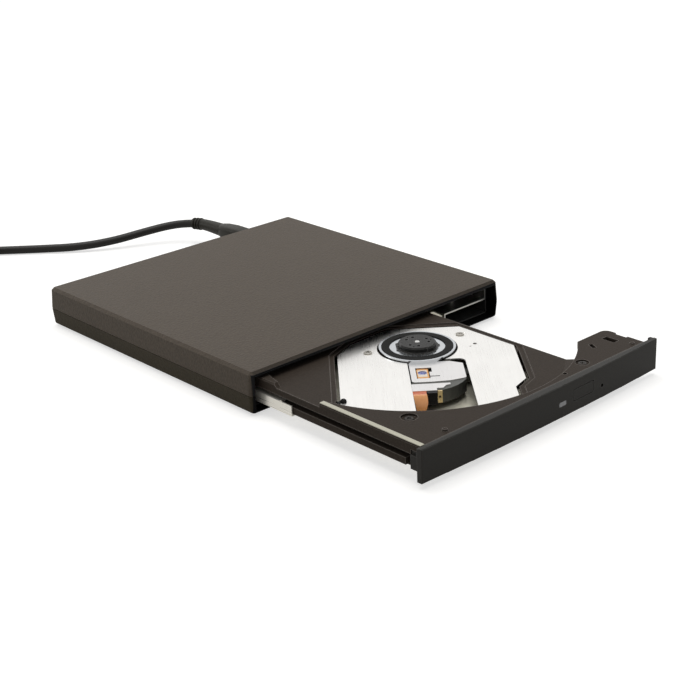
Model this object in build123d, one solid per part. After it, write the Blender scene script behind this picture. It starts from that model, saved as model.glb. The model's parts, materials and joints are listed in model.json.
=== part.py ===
"""External optical disc drive: a slim tray-loading drive in a two-shell case, with its lead.

Millimetres, +Z up. The part stands on its feet at z = 0, +X is to the right seen from the front
and the tray opens towards -Y. The origin is under the middle of the case with its tray part open.
"""

import os
from math import atan, cos, degrees, hypot, pi, radians, sin, sqrt

from build123d import *

# Case shells
case_width = 134.9
case_shift = 0.35
case_depth = 137.6
shell_height = 16.6
lower_shell_height = 7.3
wall = 1.6
top_skin = 1.5
floor_skin = 1.0
side_draft = 0.7
corner_radius = 2.3
top_bevel = 1.1
bottom_round = 1.2
parting_bevel = 0.3
front_lip_drop = 0.4
front_lip_depth = 1.4

# Feet and case screws
foot_height = 0.8
foot_radius = 5.0
foot_recess = 0.3
foot_inset = 12.5
case_screw_radius = 1.0
case_screw_head_radius = 1.9
case_screw_length = 7.0
case_screw_inset = 7.6
rear_boss_radius = 2.5

# Drive body
bezel_width = 128.0
bezel_height = 12.7
bezel_thickness = 2.3
bezel_bow = 1.4
bezel_round = 0.3
drive_gap = 0.35
bridge_room = 9.9
drive_set_back = 4.7
drive_ledge = 0.6
sheet = 0.6
cover_sheet = 0.4
cover_flange = 1.1
shelf_height = 8.9
shelf_left = 39.0
shelf_rear_gap = 9.4
board_rear_gap = 4.7
shelf_upstand = 4.8

# Tray
tray_out = 84.0
tray_rear_gap = 1.6
tray_left = 62.2
tray_right = 28.5
tray_drop = 0.35
recess_radius = 61.2
recess_depth = 1.5
tray_skin = 1.4
shoulder_underside = 10.4
shoulder_width = 3.0
tray_underside = 3.9
tray_wall = 1.2
edge_bevel = 0.5
hub_back = 65.6
ear_right = 58.7
ear_depth = 20.9
ear_thickness = 2.5
notch_front = 47.7
notch_slope = 4.6
ear_screw_sink = 0.7
notch_rear = 75.5
bottom_cover_sheet = 0.5
edge_strip_width = 1.9
edge_strip_sheet = 0.25

# Runners and rails
rail_set_back = 25.0
rail_underside = 4.7
rail_height = 4.1
rail_sheet = 0.5
rail_flange = 3.2
slide_gap = 0.2
guide_sheet = 0.4
guide_lip = 2.4
guide_front = 8.0
guide_rear_gap = 4.1
runner_front = 9.5
runner_rear_gap = 6.5

# Deck plate and traverse, placed from the hub along the pickup's travel
traverse_angle = 49.5
deck_sheet = 0.5
deck_drop = 0.5
deck_dimple = 0.15
cap_radius = 1.1
deck_left = 31.0
deck_right = 37.0
deck_rear = 19.5
deck_gap = 0.9
deck_step = 2.2
window_left = 5.05
window_right = 17.0
window_inner = 12.3
frame_thickness = 2.4
traverse_rod_radius = 1.5
rod_height = 8.0
main_rod_offset = -13.5
side_rod_offset = 23.5
screw_offset = -20.6
lead_screw_radius = 1.3
running_gap = 0.04
part_gap = 0.25

# Spindle
turntable_radius = 14.9
turntable_sheet = 0.9
seat_height = 13.4
seat_inner = 10.8
seat_outer = 13.9
hub_radius = 7.35
hub_rise = 1.75
rotor_radius = 11.8
shaft_radius = 1.2
claw_width = 3.0
claw_count = 3
claw_travel = 0.6

# Pickup
pickup_travel = 34.0
pickup_inner = 13.5
tail_start = 33.3
tail_reach = 4.93
pickup_underside = 6.6
pickup_top = 11.7
cover_plate_sheet = 0.4
lens_reach = 22.8
lens_radius = 1.7
lens_travel = 0.6

# Front controls
button_left = 12.6
button_width = 11.2
button_height = 4.3
button_underside = 6.7
button_gap = 0.28
button_room = 0.35
button_travel = 0.8
led_left = 4.35
led_width = 3.8
led_height = 1.7
led_underside = 6.75
pin_hole_x = 29.25
pin_hole_z = 7.2
pin_hole_radius = 0.7

# Lead
plug_x = 45.6
plug_z = 10.0
plug_width = 8.6
plug_height = 8.2
plug_length = 24.5
plug_clearance = 0.4
relief_length = 5.5
relief_radius = 3.1
cord_radius = 2.0
coil_pitch = 5.2
coil_half_turns = 4
coil_outer = 27.0
coil_centre_x = -79.0
coil_centre_back = 238.0
coil_lift = 0.9
tie_sheet = 0.5
tie_width = 6.0
tail_run = 7.0

# Heights that follow
case_bottom = foot_height
case_top = foot_height + shell_height
parting = foot_height + lower_shell_height
case_floor = case_bottom + floor_skin
case_ceiling = case_top - top_skin
drive_bottom = case_floor + drive_gap
bezel_top = drive_bottom + bezel_height
cover_top = case_ceiling - 0.15
cover_underside = cover_top - cover_sheet
pan_floor = drive_bottom + sheet
tray_top = bezel_top - tray_drop
recess_floor = tray_top - recess_depth
skin_underside = recess_floor - tray_skin
deck_top = recess_floor - deck_drop
deck_underside = deck_top - deck_sheet
frame_underside = deck_underside - frame_thickness
rail_top = rail_underside + rail_height
turntable_top = seat_height - 0.4
turntable_underside = turntable_top - turntable_sheet
ear_underside = tray_top - ear_thickness

# Lengths that follow
drive_length = case_depth - wall - bridge_room
shelf_length = drive_length - drive_set_back - shelf_rear_gap
guide_length = drive_length - guide_front - guide_rear_gap
tray_length = drive_length - tray_rear_gap
rail_length = tray_length - rail_set_back
runner_back = tray_length - runner_rear_gap

# Plan positions that follow
case_front = (tray_out + bezel_bow - case_depth) / 2
bezel_front = case_front - tray_out
half_bezel = bezel_width / 2
drive_right = half_bezel + drive_ledge
hub_y = bezel_front + hub_back
traverse = Pos(0, hub_y, 0) * Rot(0, 0, 180 + traverse_angle)
tray_front = bezel_front + bezel_thickness
tray_rear = bezel_front + tray_length
lower_left = -(tray_left - shoulder_width)
lower_right = tray_right - shoulder_width
cavity_front = tray_front + tray_wall + 0.2
cavity_rear = tray_rear - tray_wall
rail_front = case_front + rail_set_back - tray_out / 2
coil_pieces = 2 * coil_half_turns + 2
coil_centre = (coil_centre_x, case_front + coil_centre_back)


def behind(distance):
    """Y of a plane at this distance behind the case's front."""
    return case_front + distance


def block(x0, x1, y0, y1, z0, z1):
    """A box between two corners."""
    return Pos((x0 + x1) / 2, (y0 + y1) / 2, (z0 + z1) / 2) * Box(x1 - x0, y1 - y0, z1 - z0)


def post(x, y, z0, z1, radius):
    """An upright cylinder."""
    return Pos(x, y, (z0 + z1) / 2) * Cylinder(radius, z1 - z0)


def bar(x0, x1, y, z, radius):
    """A cylinder along X."""
    return Pos((x0 + x1) / 2, y, z) * Rot(0, 90, 0) * Cylinder(radius, x1 - x0)


def prism(points, z0, z1):
    """A polygon raised from z0 to z1."""
    face = make_face(Polyline(*[(x, y) for x, y in points], close=True))
    return Pos(0, 0, z0) * extrude(face, z1 - z0)


def upright_edges(shape, x_range, y_range):
    """The vertical edges of a shape within a plan window."""
    found = shape.edges().filter_by(Axis.Z)
    found = found.filter_by(lambda e: x_range[0] <= e.center().X <= x_range[1])
    return found.filter_by(lambda e: y_range[0] <= e.center().Y <= y_range[1])


def shell_outer(height, upward):
    """One half of the case's outside, drafted away from the parting plane."""
    plan = Pos(case_shift, behind(case_depth / 2), parting) * RectangleRounded(case_width, case_depth, corner_radius)
    lean = degrees(atan(side_draft / height))
    body = extrude(plan, height if upward else -height, taper=lean)
    ends = body.faces().sort_by(Axis.Z)
    if upward:
        body = chamfer(ends[-1].edges(), top_bevel)
    else:
        body = fillet(ends[0].edges(), bottom_round)
    ends = body.faces().sort_by(Axis.Z)
    near = ends[0] if upward else ends[-1]
    return chamfer(near.edges(), parting_bevel)


def shell_inner(depth, upward):
    """The room inside one half of the case, open at the front."""
    reach = case_depth - wall + 20
    plan = Pos(case_shift, behind(case_depth - wall - reach / 2), parting) * Rectangle(case_width - 2 * wall, reach)
    lean = degrees(atan(side_draft / depth))
    return extrude(plan, depth if upward else -depth, taper=lean)


def socket_cut():
    """The hole in the case's rear wall for the lead's socket and plug tip."""
    y = behind(case_depth)
    hole = block(plug_x - 4.3, plug_x + 4.3, y - 6, y + 2, plug_z - 2.4, plug_z + 2.4)
    return fillet(hole.edges().filter_by(Axis.Y), 0.8)


def rear_screw_places():
    """Plan positions of the two screws that hold the shells together."""
    x = case_width / 2 - case_screw_inset
    y = behind(case_depth - wall - rear_boss_radius - 1.2)
    return [(case_shift - x, y), (case_shift + x, y)]


def top_shell():
    """Upper half of the case, with the two screw bosses at the back."""
    body = shell_outer(case_top - parting, True)
    body = body - shell_inner(case_ceiling - parting, True)
    inner_half = case_width / 2 - wall - side_draft
    y0 = behind(0.2)
    y1 = behind(front_lip_depth)
    body = body + block(case_shift - inner_half, case_shift + inner_half, y0, y1, case_ceiling - front_lip_drop, case_ceiling)
    for x, y in rear_screw_places():
        body = body + post(x, y, case_floor + 0.3, case_ceiling, rear_boss_radius)
        body = body - post(x, y, case_floor, case_ceiling - 1.0, case_screw_radius + running_gap)
    return body - socket_cut()


def bottom_shell():
    """Lower half of the case, with foot recesses and countersunk screw holes."""
    body = shell_outer(parting - case_bottom, False)
    body = body - shell_inner(parting - case_floor, False)
    for x, y in foot_places():
        body = body - post(x, y, case_bottom - 1, case_bottom + foot_recess, foot_radius + 0.1)
    for x, y in rear_screw_places() + mount_screw_places():
        body = body - post(x, y, case_bottom - 1, case_floor + 1, case_screw_radius + 0.15)
        body = body - post(x, y, case_bottom - 1, case_bottom + 0.55, case_screw_head_radius + 0.15)
    return body - socket_cut()


def foot_places():
    """Plan positions of the four feet."""
    x = case_width / 2 - foot_inset
    y = case_depth / 2 - foot_inset
    return [(case_shift + sx * x, behind(case_depth / 2 + sy * y)) for sx in (-1, 1) for sy in (-1, 1)]


def mount_screw_places():
    """Plan positions of the four screws that hold the drive to the lower shell."""
    x = half_bezel - 8.6
    return [(sx * x, behind(y)) for sx in (-1, 1) for y in (26.0, 106.0)]


def rubber_feet():
    """Four glued rubber feet with a rounded lower edge."""
    feet = []
    for x, y in foot_places():
        pad = post(x, y, 0, case_bottom + foot_recess, foot_radius)
        feet.append(chamfer(pad.edges().sort_by(Axis.Z)[0], 0.25))
    return Compound(feet)


def flat_screw(x, y, z, head_radius, shank_radius, length):
    """A screw with its head's top face downwards at z and its shank upwards."""
    head = post(x, y, z, z + 0.45, head_radius)
    shank = post(x, y, z + 0.4, z + length, shank_radius)
    return head + shank


def shell_screws():
    """Two screws that pull the shells together at the back."""
    made = [flat_screw(x, y, case_bottom + 0.08, case_screw_head_radius, case_screw_radius, case_screw_length)
            for x, y in rear_screw_places()]
    return Compound(made)


def drive_mount_screws():
    """Four short screws from the lower shell into the drive's base pan."""
    length = pan_floor - case_bottom + 0.2
    made = [flat_screw(x, y, case_bottom + 0.08, case_screw_head_radius, case_screw_radius, length)
            for x, y in mount_screw_places()]
    return Compound(made)


def pan_wall_top():
    """Height where the base pan's walls meet the top cover's flanges."""
    return cover_underside - cover_flange


def drive_base_pan():
    """Folded steel base of the drive: floor, two side walls and a rear wall with a cable gap."""
    y0 = behind(drive_set_back)
    y1 = behind(drive_length)
    top = pan_wall_top()
    pan = block(-half_bezel, drive_right, y0, y1, drive_bottom, pan_floor)
    pan = pan + block(-half_bezel, -half_bezel + sheet, y0, y1, drive_bottom, top)
    pan = pan + block(drive_right - sheet, drive_right, y0, y1, drive_bottom, top)
    pan = pan + block(-half_bezel, drive_right, y1 - sheet, y1, drive_bottom, top)
    pan = pan - block(36.0, 56.0, y1 - 2, y1 + 2, pan_floor, pan_floor + 6.0)
    for x, y in mount_screw_places():
        pan = pan - post(x, y, drive_bottom - 1, pan_floor + 1, case_screw_radius + running_gap)
    for i in range(3):
        y = behind(40.0 + 28.0 * i)
        pan = pan - prism([(-30, y), (-12, y), (-12, y + 12), (-30, y + 12)], drive_bottom - 1, drive_bottom + 0.2)
    return pan


def drive_top_cover():
    """Thin steel lid of the drive, with a flange down each side onto the pan's walls."""
    y0 = behind(drive_set_back)
    y1 = behind(drive_length)
    lid = block(-half_bezel, drive_right, y0, y1, cover_underside, cover_top)
    for x in (-half_bezel, drive_right - cover_sheet):
        lid = lid + block(x, x + cover_sheet, y0, y1, pan_wall_top(), cover_underside)
    return lid


def board_cover():
    """Steel shelf over the drive's board at the right, with the latch pin on it."""
    y0 = behind(drive_set_back)
    y1 = y0 + shelf_length
    right = drive_right - sheet
    under = shelf_height - sheet
    shelf = block(shelf_left, right, y0, y1, under, shelf_height)
    shelf = shelf + block(shelf_left, shelf_left + sheet, y0, y1, pan_floor, under)
    shelf = shelf + block(right - sheet, right, y0, y1, shelf_height, shelf_height + shelf_upstand)
    pin_y = latch_pin_y()
    return shelf + post(latch_pin_x(), pin_y, shelf_height, latch_height() + 1.6, 1.0)


def drive_board():
    """Control board of the drive under the shelf, with its chips and capacitors."""
    y0 = behind(24.0)
    y1 = behind(drive_set_back + shelf_length - board_rear_gap)
    left = shelf_left + sheet + 0.6
    right = half_bezel - sheet - 1.0
    z = pan_floor
    board = block(left, right, y0, y1, z + 0.6, z + 1.6)
    for x in (left + 3, right - 3):
        for y in (y0 + 4, y1 - 4):
            board = board + post(x, y, z, z + 0.7, 1.6)
    for x, y, w, d in ((49.5, 60.0, 12.0, 12.0), (50.0, 84.0, 9.0, 7.0), (46.0, 38.0, 6.0, 6.0)):
        board = board + block(x - w / 2, x + w / 2, behind(y - d / 2), behind(y + d / 2), z + 1.5, z + 2.7)
    return board


def steel_rail(side, web_outer):
    """Telescopic rail: a channel round the tray's runner, its top flange cut back at the front."""
    inner = web_outer - side * rail_sheet
    tip = web_outer - side * rail_flange
    x0, x1 = sorted((web_outer, tip))
    y1 = rail_front + rail_length
    body = block(x0, x1, rail_front, y1, rail_underside, rail_top)
    a, b = sorted((inner, tip - side))
    room = block(a, b, rail_front - 1, y1 + 1, rail_underside + rail_sheet, rail_top - rail_sheet)
    body = body - room
    body = body - block(*sorted((inner, tip - side)), rail_front - 1, rail_front + 6.0, rail_top - rail_sheet, rail_top + 1)
    stop = block(*sorted((inner, inner - side * 0.9)), rail_front + 6.0, rail_front + 6.8, rail_top - rail_sheet, rail_top + 0.15)
    return body + stop


def guide_section(side, web_outer, y0, y1):
    """Fixed guide: a plate outside the rail with a lip over and a lip under it."""
    near = web_outer + side * slide_gap
    far = near + side * guide_sheet
    tip = near - side * guide_lip
    plate = block(*sorted((near, far)), y0, y1, rail_underside - slide_gap - guide_sheet, rail_top + slide_gap + guide_sheet)
    upper = block(*sorted((tip, near)), y0, y1, rail_top + slide_gap, rail_top + slide_gap + guide_sheet)
    lower = block(*sorted((tip, near)), y0, y1, rail_underside - slide_gap - guide_sheet, rail_underside - slide_gap)
    return plate + upper + lower


def left_web():
    """Outer face of the left rail's web."""
    return -(half_bezel - sheet - guide_sheet - slide_gap)


def right_web():
    """Outer face of the right rail's web, as far out from the tray's edge as the left one."""
    return tray_right + (-left_web() - tray_left)


def left_rail_guide():
    """Guide of the left rail, spot-welded inside the pan's left wall."""
    return guide_section(-1, left_web(), behind(guide_front), behind(guide_front + guide_length))


def right_rail_guide():
    """Guide of the right rail on its bracket, which stands on the pan's floor."""
    y0 = behind(guide_front)
    y1 = behind(guide_front + guide_length)
    guide = guide_section(1, right_web(), y0, y1)
    plate = right_web() + slide_gap + guide_sheet
    guide = guide + block(plate, plate + sheet, y0, y1, pan_floor, rail_top + slide_gap + guide_sheet)
    guide = guide + block(plate, plate + 5.0, y0, y1, pan_floor, pan_floor + sheet)
    front = behind(drive_set_back + 0.2)
    guide = guide + block(plate, plate + sheet, front, y0, pan_floor, rail_top + slide_gap + guide_sheet)
    corners = [(plate, 7.0), (plate, 11.0), (plate + 1.9, 11.8), (plate + 3.3, 11.5), (plate + 8.2, 8.4), (plate + 7.6, 7.0)]
    tab = extrude(Plane.XZ.offset(-front) * make_face(Polyline(*corners, close=True)), -sheet)
    return guide + tab


def disc_recess(z0, z1, grow=0.0):
    """The disc's round room."""
    return post(0, hub_y, z0, z1, recess_radius + grow)


def deck_points():
    """Outline of the deck plate from the hub: along the travel, across it."""
    cut = deck_left - 19.0
    return [
        (-deck_rear, -cut + 2.0),
        (-deck_rear, 30.0),
        (-6.0, deck_right),
        (33.6, deck_right),
        (40.5, deck_right - 4.7),
        (70.0, deck_right - 4.7),
        (70.0, -deck_left),
        (4.6, -deck_left),
        (-6.4, -deck_left + 6.0),
        (-deck_rear + 1.1, -cut),
    ]


def deck_outline(grow, z0, z1):
    """The deck's outline grown all round, held within the tray's right edge."""
    face = make_face(Polyline(*deck_points(), close=True))
    if grow:
        face = offset(face, grow, kind=Kind.INTERSECTION)
    solid = traverse * (Pos(0, 0, z0) * extrude(face, z1 - z0))
    edge = tray_right - 1.9 + grow / 2
    return solid & block(-80, edge, hub_y - 80, hub_y + 80, z0, z1)


def deck_region(grow, z0, z1):
    """The part of the grown deck outline that lies within the disc recess."""
    return deck_outline(grow, z0, z1) & post(0, hub_y, z0, z1, recess_radius + 0.5 + grow / 4)


def cavity(z1):
    """The room inside the tray's lower walls, up to a height."""
    return block(lower_left + tray_wall, lower_right - tray_wall, cavity_front, cavity_rear, tray_underside - 2, z1)


def damper_places():
    """Rubber mounts of the traverse from the hub, each with the wall that its post is ribbed to."""
    return [((46.4, -30.0), "left"), ((36.0, 30.5), "front"), ((-15.6, -4.0), "right")]


def plan_point(along, across):
    """Plan position of a point given from the hub along and across the pickup's travel."""
    a = radians(traverse_angle)
    return (-cos(a) * along + sin(a) * across, hub_y - sin(a) * along - cos(a) * across)


def front_screw_place():
    """Plan position of the tray screw at the front left."""
    return (-48.7, bezel_front + 21.1)


def ear_screw_place():
    """Plan position of the tray screw beside the ear."""
    return (27.6, bezel_front + 7.1)


def tray_ramp():
    """Small slope from the recess floor up to the ear."""
    low = Vector(15.4, bezel_front + 6.2, recess_floor)
    side = Vector(tray_right, bezel_front + 15.4, recess_floor)
    high = Vector(tray_right, bezel_front + 10.6, tray_top)
    wedge = prism([(low.X, low.Y), (side.X, side.Y), (high.X, high.Y - 2)], recess_floor - 0.2, tray_top)
    normal = (side - low).cross(high - low)
    if normal.Z < 0:
        normal = -normal
    slope = Plane(origin=low, x_dir=(side - low), z_dir=normal)
    return split(wedge, bisect_by=slope, keep=Keep.BOTTOM)


def tray():
    """Main tray moulding: disc recess, cut-back right side with its ear, hollow underside, runners."""
    slab = block(-tray_left, tray_right, tray_front, tray_rear, shoulder_underside, tray_top)
    slab = chamfer(slab.edges().filter_by(Axis.Y).group_by(Axis.Z)[-1].sort_by(Axis.X)[0], edge_bevel)
    ear = block(tray_right - 2, ear_right, tray_front, bezel_front + ear_depth, ear_underside, tray_top)
    ear = fillet(upright_edges(ear, (ear_right - 1, ear_right + 1), (bezel_front + ear_depth - 1, 500)), 3.0)
    ear = ear - block(ear_right - 1.0, ear_right + 1, bezel_front + 9.9, bezel_front + 15.5, 0, 30)
    ear = ear - block(50.4, 53.3, bezel_front + 10.1, bezel_front + 15.9, 0, 30)
    ear = ear - Pos(42.3, bezel_front + 14.0, 12) * Rot(0, 0, -28) * Box(1.6, 3.6, 30)
    ear = ear - (disc_recess(0, 30) & block(tray_right, ear_right, tray_front, tray_rear, 0, 30))
    body = slab + ear + block(lower_left, lower_right, tray_front + 0.2, tray_rear, tray_underside, shoulder_underside)
    body = body - cavity(skin_underside)
    body = body - disc_recess(recess_floor, tray_top + 1)
    body = body + tray_ramp()
    body = body - edge_notch()
    body = body - button_well()
    body = body - (deck_region(deck_gap, deck_underside - 0.3, recess_floor))
    step = deck_region(deck_gap + deck_step, recess_floor - 0.5, recess_floor + 0.01)
    body = body - (step & block(-59, 27.9, hub_y - 60, hub_y + 60, 0, 30))
    body = body - (deck_region(1.2, tray_underside, recess_floor) & cavity(recess_floor))
    body = body - ((traverse * block(8, 80, -24, 27, tray_underside, recess_floor)) & cavity(recess_floor))
    body = body - block(-tray_left - 1, lower_left, tray_front - 1, bezel_front + 6.9, 0, 12.0)
    body = body - block(4.0, 24.0, tray_front - 1, cavity_front + 1, tray_underside + tray_wall, skin_underside)
    body = body + tray_runners()
    return tray_details(body)


def edge_notch():
    """The low part of the tray's left border, its rear end sloped."""
    front = bezel_front + notch_front + notch_slope
    rear = bezel_front + notch_rear
    side = [(front, recess_floor), (rear, recess_floor), (rear + 2.4, tray_top + 0.4), (front, tray_top + 0.4)]
    face = make_face(Polyline(*side, close=True))
    return Pos(-tray_left - 1, 0, 0) * extrude(Plane.YZ * face, 5.0)


def button_well():
    """Room in the tray's front wall for the pressed eject button."""
    x0 = button_left - button_room
    x1 = button_left + button_width + button_room
    z0 = button_underside - button_room
    z1 = button_underside + button_height + button_room
    return block(x0, x1, tray_front - 1, tray_front + button_travel + button_room, z0, z1)


def edge_strip():
    """Pale strip on the tray's left border, from the notch to the bezel."""
    x0 = -tray_left + 0.15
    y1 = bezel_front + notch_front + 4.4
    return block(x0, x0 + edge_strip_width, tray_front + 0.1, y1, tray_top, tray_top + edge_strip_sheet)


def tray_runners():
    """The two moulded runners that the steel rails wrap."""
    y0 = bezel_front + runner_front
    y1 = bezel_front + runner_back
    z0 = rail_underside + rail_sheet + slide_gap
    z1 = rail_top - rail_sheet - slide_gap
    left = left_web() + rail_sheet + slide_gap
    right = right_web() - rail_sheet - slide_gap
    return block(left, lower_left + 0.1, y0, y1, z0, z1) + block(lower_right - 0.1, right, y0, y1, z0, z1)


def tray_details(body):
    """Screw bosses, pegs, holes and the posts that carry the traverse."""
    x, y = front_screw_place()
    body = body + post(x, y, tray_underside + bottom_cover_sheet, tray_top, 2.3)
    body = body - post(x, y, tray_top - 0.9, tray_top + 1, 3.0)
    body = body - post(x, y, tray_underside, tray_top, 0.9)
    x, y = ear_screw_place()
    body = body + post(x, y, rail_top + slide_gap + guide_sheet + 0.4, ear_underside, 2.4)
    body = body - post(x, y, tray_top - ear_screw_sink, tray_top + 1, 2.6)
    body = body - post(x, y, tray_underside, tray_top, 0.9)
    body = body - post(15.4, bezel_front + 5.3, skin_underside, tray_top + 1, 0.8)
    body = body + post(54.4, bezel_front + 4.6, tray_top - 0.1, tray_top + 0.35, 1.0)
    body = body + post(-47.8, bezel_front + 5.0, tray_top - 0.1, tray_top + 0.6, 1.0)
    for (along, across), wall_side in damper_places():
        x, y = plan_point(along, across)
        z0 = tray_underside + bottom_cover_sheet
        top = frame_underside - 0.6
        if wall_side == "left":
            rib = block(lower_left + 0.2, x, y - 0.7, y + 0.7, z0, top)
        elif wall_side == "front":
            rib = block(x - 0.7, x + 0.7, cavity_front - 0.2, y, z0, 6.0)
        else:
            rib = block(x, lower_right - 0.2, y - 0.7, y + 0.7, z0, top)
        body = body - post(x, y, top, recess_floor + 0.1, 2.9)
        body = body + rib + post(x, y, z0, top, 2.3) + post(x, y, z0, deck_underside - 0.2, 1.1)
    return body


def tray_bottom_cover():
    """Bright steel sheet that closes the tray's underside."""
    gap = 0.1
    x0 = lower_left + tray_wall + gap
    x1 = lower_right - tray_wall - gap
    sheet_body = block(x0, x1, cavity_front + gap, cavity_rear - gap, tray_underside, tray_underside + bottom_cover_sheet)
    return sheet_body


def bezel_blank():
    """The bezel's plate with its bowed front, before any opening."""
    front = ThreePointArc((-half_bezel, bezel_front), (0, bezel_front - bezel_bow), (half_bezel, bezel_front))
    sides = Polyline((half_bezel, bezel_front), (half_bezel, tray_front), (-half_bezel, tray_front), (-half_bezel, bezel_front))
    plan = make_face(Wire([front, *sides.edges()]))
    body = Pos(0, 0, drive_bottom) * extrude(plan, bezel_height)
    front_face = body.faces().sort_by(Axis.Y)[0]
    return fillet(front_face.edges(), bezel_round)


def button_window(gap):
    """The eject button's rounded room through the bezel."""
    x0 = button_left - gap
    x1 = button_left + button_width + gap
    room = block(x0, x1, bezel_front - 5, tray_front + 2, button_underside - gap, button_underside + button_height + gap)
    return fillet(room.edges().filter_by(Axis.Y), 0.5)


def led_window(gap):
    """The light pipe's room through the bezel."""
    x0 = led_left - gap
    x1 = led_left + led_width + gap
    room = block(x0, x1, bezel_front - 5, tray_front + 2, led_underside - gap, led_underside + led_height + gap)
    return fillet(room.edges().filter_by(Axis.Y), 0.45)


def bezel():
    """Front bezel with its rear ledge, side block, hook and the three openings."""
    body = bezel_blank()
    body = body - block(-half_bezel - 1, half_bezel + 1, tray_front - 0.8, tray_front + 1, tray_top, bezel_top + 1)
    body = body - button_window(button_gap) - led_window(0.05)
    hole = Pos(pin_hole_x, bezel_front, pin_hole_z) * Rot(90, 0, 0) * Cylinder(pin_hole_radius, 20)
    body = body - hole
    block_x = -(half_bezel - 1.4)
    side = block(block_x, lower_left - 0.3, tray_front, bezel_front + 6.7, rail_underside + 0.4, 11.8)
    side = side - block(block_x - 1, block_x + 0.8, tray_front + 1.6, bezel_front + 8, 10.4, 13)
    hook = block(half_bezel - 1.9, half_bezel - 0.4, tray_front - 0.8, tray_front + 0.7, 12.4, bezel_top)
    return body + side + hook


def eject_button():
    """Button cap flush with the bezel, its stem reaching back to the switch."""
    cap = bezel_blank() & button_window(0)
    x = button_left + button_width / 2
    z = button_underside + button_height / 2
    return cap + block(x - 1.5, x + 1.5, tray_front - 0.2, switch_front() - button_travel - 0.1, z - 1.0, z + 1.0)


def led_lens():
    """Clear light pipe of the activity light."""
    return bezel_blank() & led_window(0)


def switch_front():
    """Y of the front of the eject switch."""
    return cavity_front + 1.0


def front_board():
    """Small board behind the bezel with the switch and the light's chip."""
    y0 = cavity_front + 2.2
    z0 = tray_underside + bottom_cover_sheet
    board = block(2.0, 23.6, y0, y0 + 0.8, z0, skin_underside - 0.2)
    chip_x = led_left + led_width / 2
    z = led_underside + led_height / 2
    return board + block(chip_x - 1.0, chip_x + 1.0, y0 - 0.6, y0 + 0.1, z - 0.8, z + 0.8)


def eject_switch():
    """Tact switch behind the eject button."""
    x = button_left + button_width / 2
    z = button_underside + button_height / 2
    return block(x - 2.6, x + 2.6, switch_front() + 0.3, cavity_front + 2.2, z - 2.2, z + 2.2) + Pos(
        x, switch_front() + 0.2, z) * Rot(90, 0, 0) * Cylinder(1.2, 0.4)


def pan_head_screw(x, y, seat, head_radius, shank_radius, length):
    """A screw standing head up, its head's underside on the seat."""
    head = post(x, y, seat, seat + 0.6, head_radius)
    head = chamfer(head.edges().sort_by(Axis.Z)[-1], 0.25)
    return head + post(x, y, seat - length, seat + 0.1, shank_radius)


def tray_screws():
    """The two screws seen in the tray's round recesses."""
    made = []
    for (x, y), sink, length in ((front_screw_place(), 0.9, 5.0), (ear_screw_place(), ear_screw_sink, 3.6)):
        made.append(pan_head_screw(x, y, tray_top - sink, 1.7, 0.86, length))
    return Compound(made)


def deck_window(grow, inner, z0, z1):
    """The pickup's window with a rounded inner right corner, in traverse axes."""
    room = block(inner, 90, -window_left - grow, window_right + grow, z0, z1)
    corner = room.edges().filter_by(Axis.Z).sort_by(Axis.X)[:2].sort_by(Axis.Y)[-1]
    return fillet(corner, 2.5)


def deck_screw_places():
    """The two deck screws, from the hub along and across the travel."""
    return [(3.0, -19.2), (-11.2, 17.7)]


def deck_plate():
    """Bright brushed deck plate round the spindle and the pickup's window."""
    body = deck_region(0, deck_underside, deck_top)
    body = body - traverse * deck_window(0.0, window_inner, 0, 30)
    body = body - post(0, hub_y, 0, 30, turntable_radius + 0.7)
    for along, across in deck_screw_places():
        x, y = plan_point(along, across)
        body = body - post(x, y, 0, 30, 0.9)
        body = body - post(x, y, deck_top - deck_dimple, 30, 2.3)
    corner_x, corner_y = plan_point(*damper_places()[0][0])
    body = body - post(corner_x, corner_y, 0, 30, cap_radius + 0.15)
    for (along, across), radius in (((-1.2, 22.4), 0.75), ((1.2, 20.4), 0.35)):
        body = body - post(*plan_point(along, across), 0, 30, radius)
    return body


def traverse_frame():
    """Moulded frame under the deck plate: carries the rods, the motor and the rubber mounts."""
    body = deck_region(-0.8, frame_underside, deck_underside)
    body = body + deck_outline(-0.8, frame_underside, skin_underside - 0.3)
    body = body & block(lower_left + tray_wall + 0.4, lower_right - tray_wall - 0.4, cavity_front + 0.4,
                        cavity_rear, frame_underside, deck_underside)
    body = body - traverse * deck_window(0.6, window_inner - 2, 0, 30)
    body = body - post(0, hub_y, 0, 30, turntable_radius + 0.7)
    body = body - traverse * block(4.0, 20.6, screw_offset - 4.6, screw_offset + 4.2, 0, 30)
    body = body - traverse * block(13.0, 63.0, screw_offset - 2.0, -window_left + 1, 0, 9.9)
    for across, r0, r1 in ((main_rod_offset, 7.0, 68.0), (side_rod_offset, -4.0, 55.5)):
        for along in (r0, r1):
            body = body + rod_holder(along, across)
    body = body + motor_shelf()
    x, y = front_screw_place()
    body = body - post(x, y, 0, 30, 2.9)
    for (along, across), _ in damper_places():
        x, y = plan_point(along, across)
        body = body - post(x, y, 0, 30, 2.6)
    for along, across in deck_screw_places():
        x, y = plan_point(along, across)
        body = body - post(x, y, 0, 30, 0.84)
    return body


def rod_holder(along, across):
    """A block under the frame that holds one end of a guide rod."""
    z0 = rod_height - traverse_rod_radius - 0.8
    holder = traverse * block(along - 1.5, along + 1.5, across - 2.3, across + 2.3, z0, frame_underside + 0.1)
    bore = traverse * bar(along - 2, along + 2, across, rod_height, traverse_rod_radius + 0.02)
    return holder - bore


def motor_shelf():
    """Arms from the frame's rear that carry the spindle motor's plate."""
    arms = traverse * block(-18.6, -15.8, 1.8, 9.0, 8.0, frame_underside + 0.1)
    foot = traverse * block(-18.6, -6.0, 1.8, 7.0, 8.0, 8.6)
    return arms + foot


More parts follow.
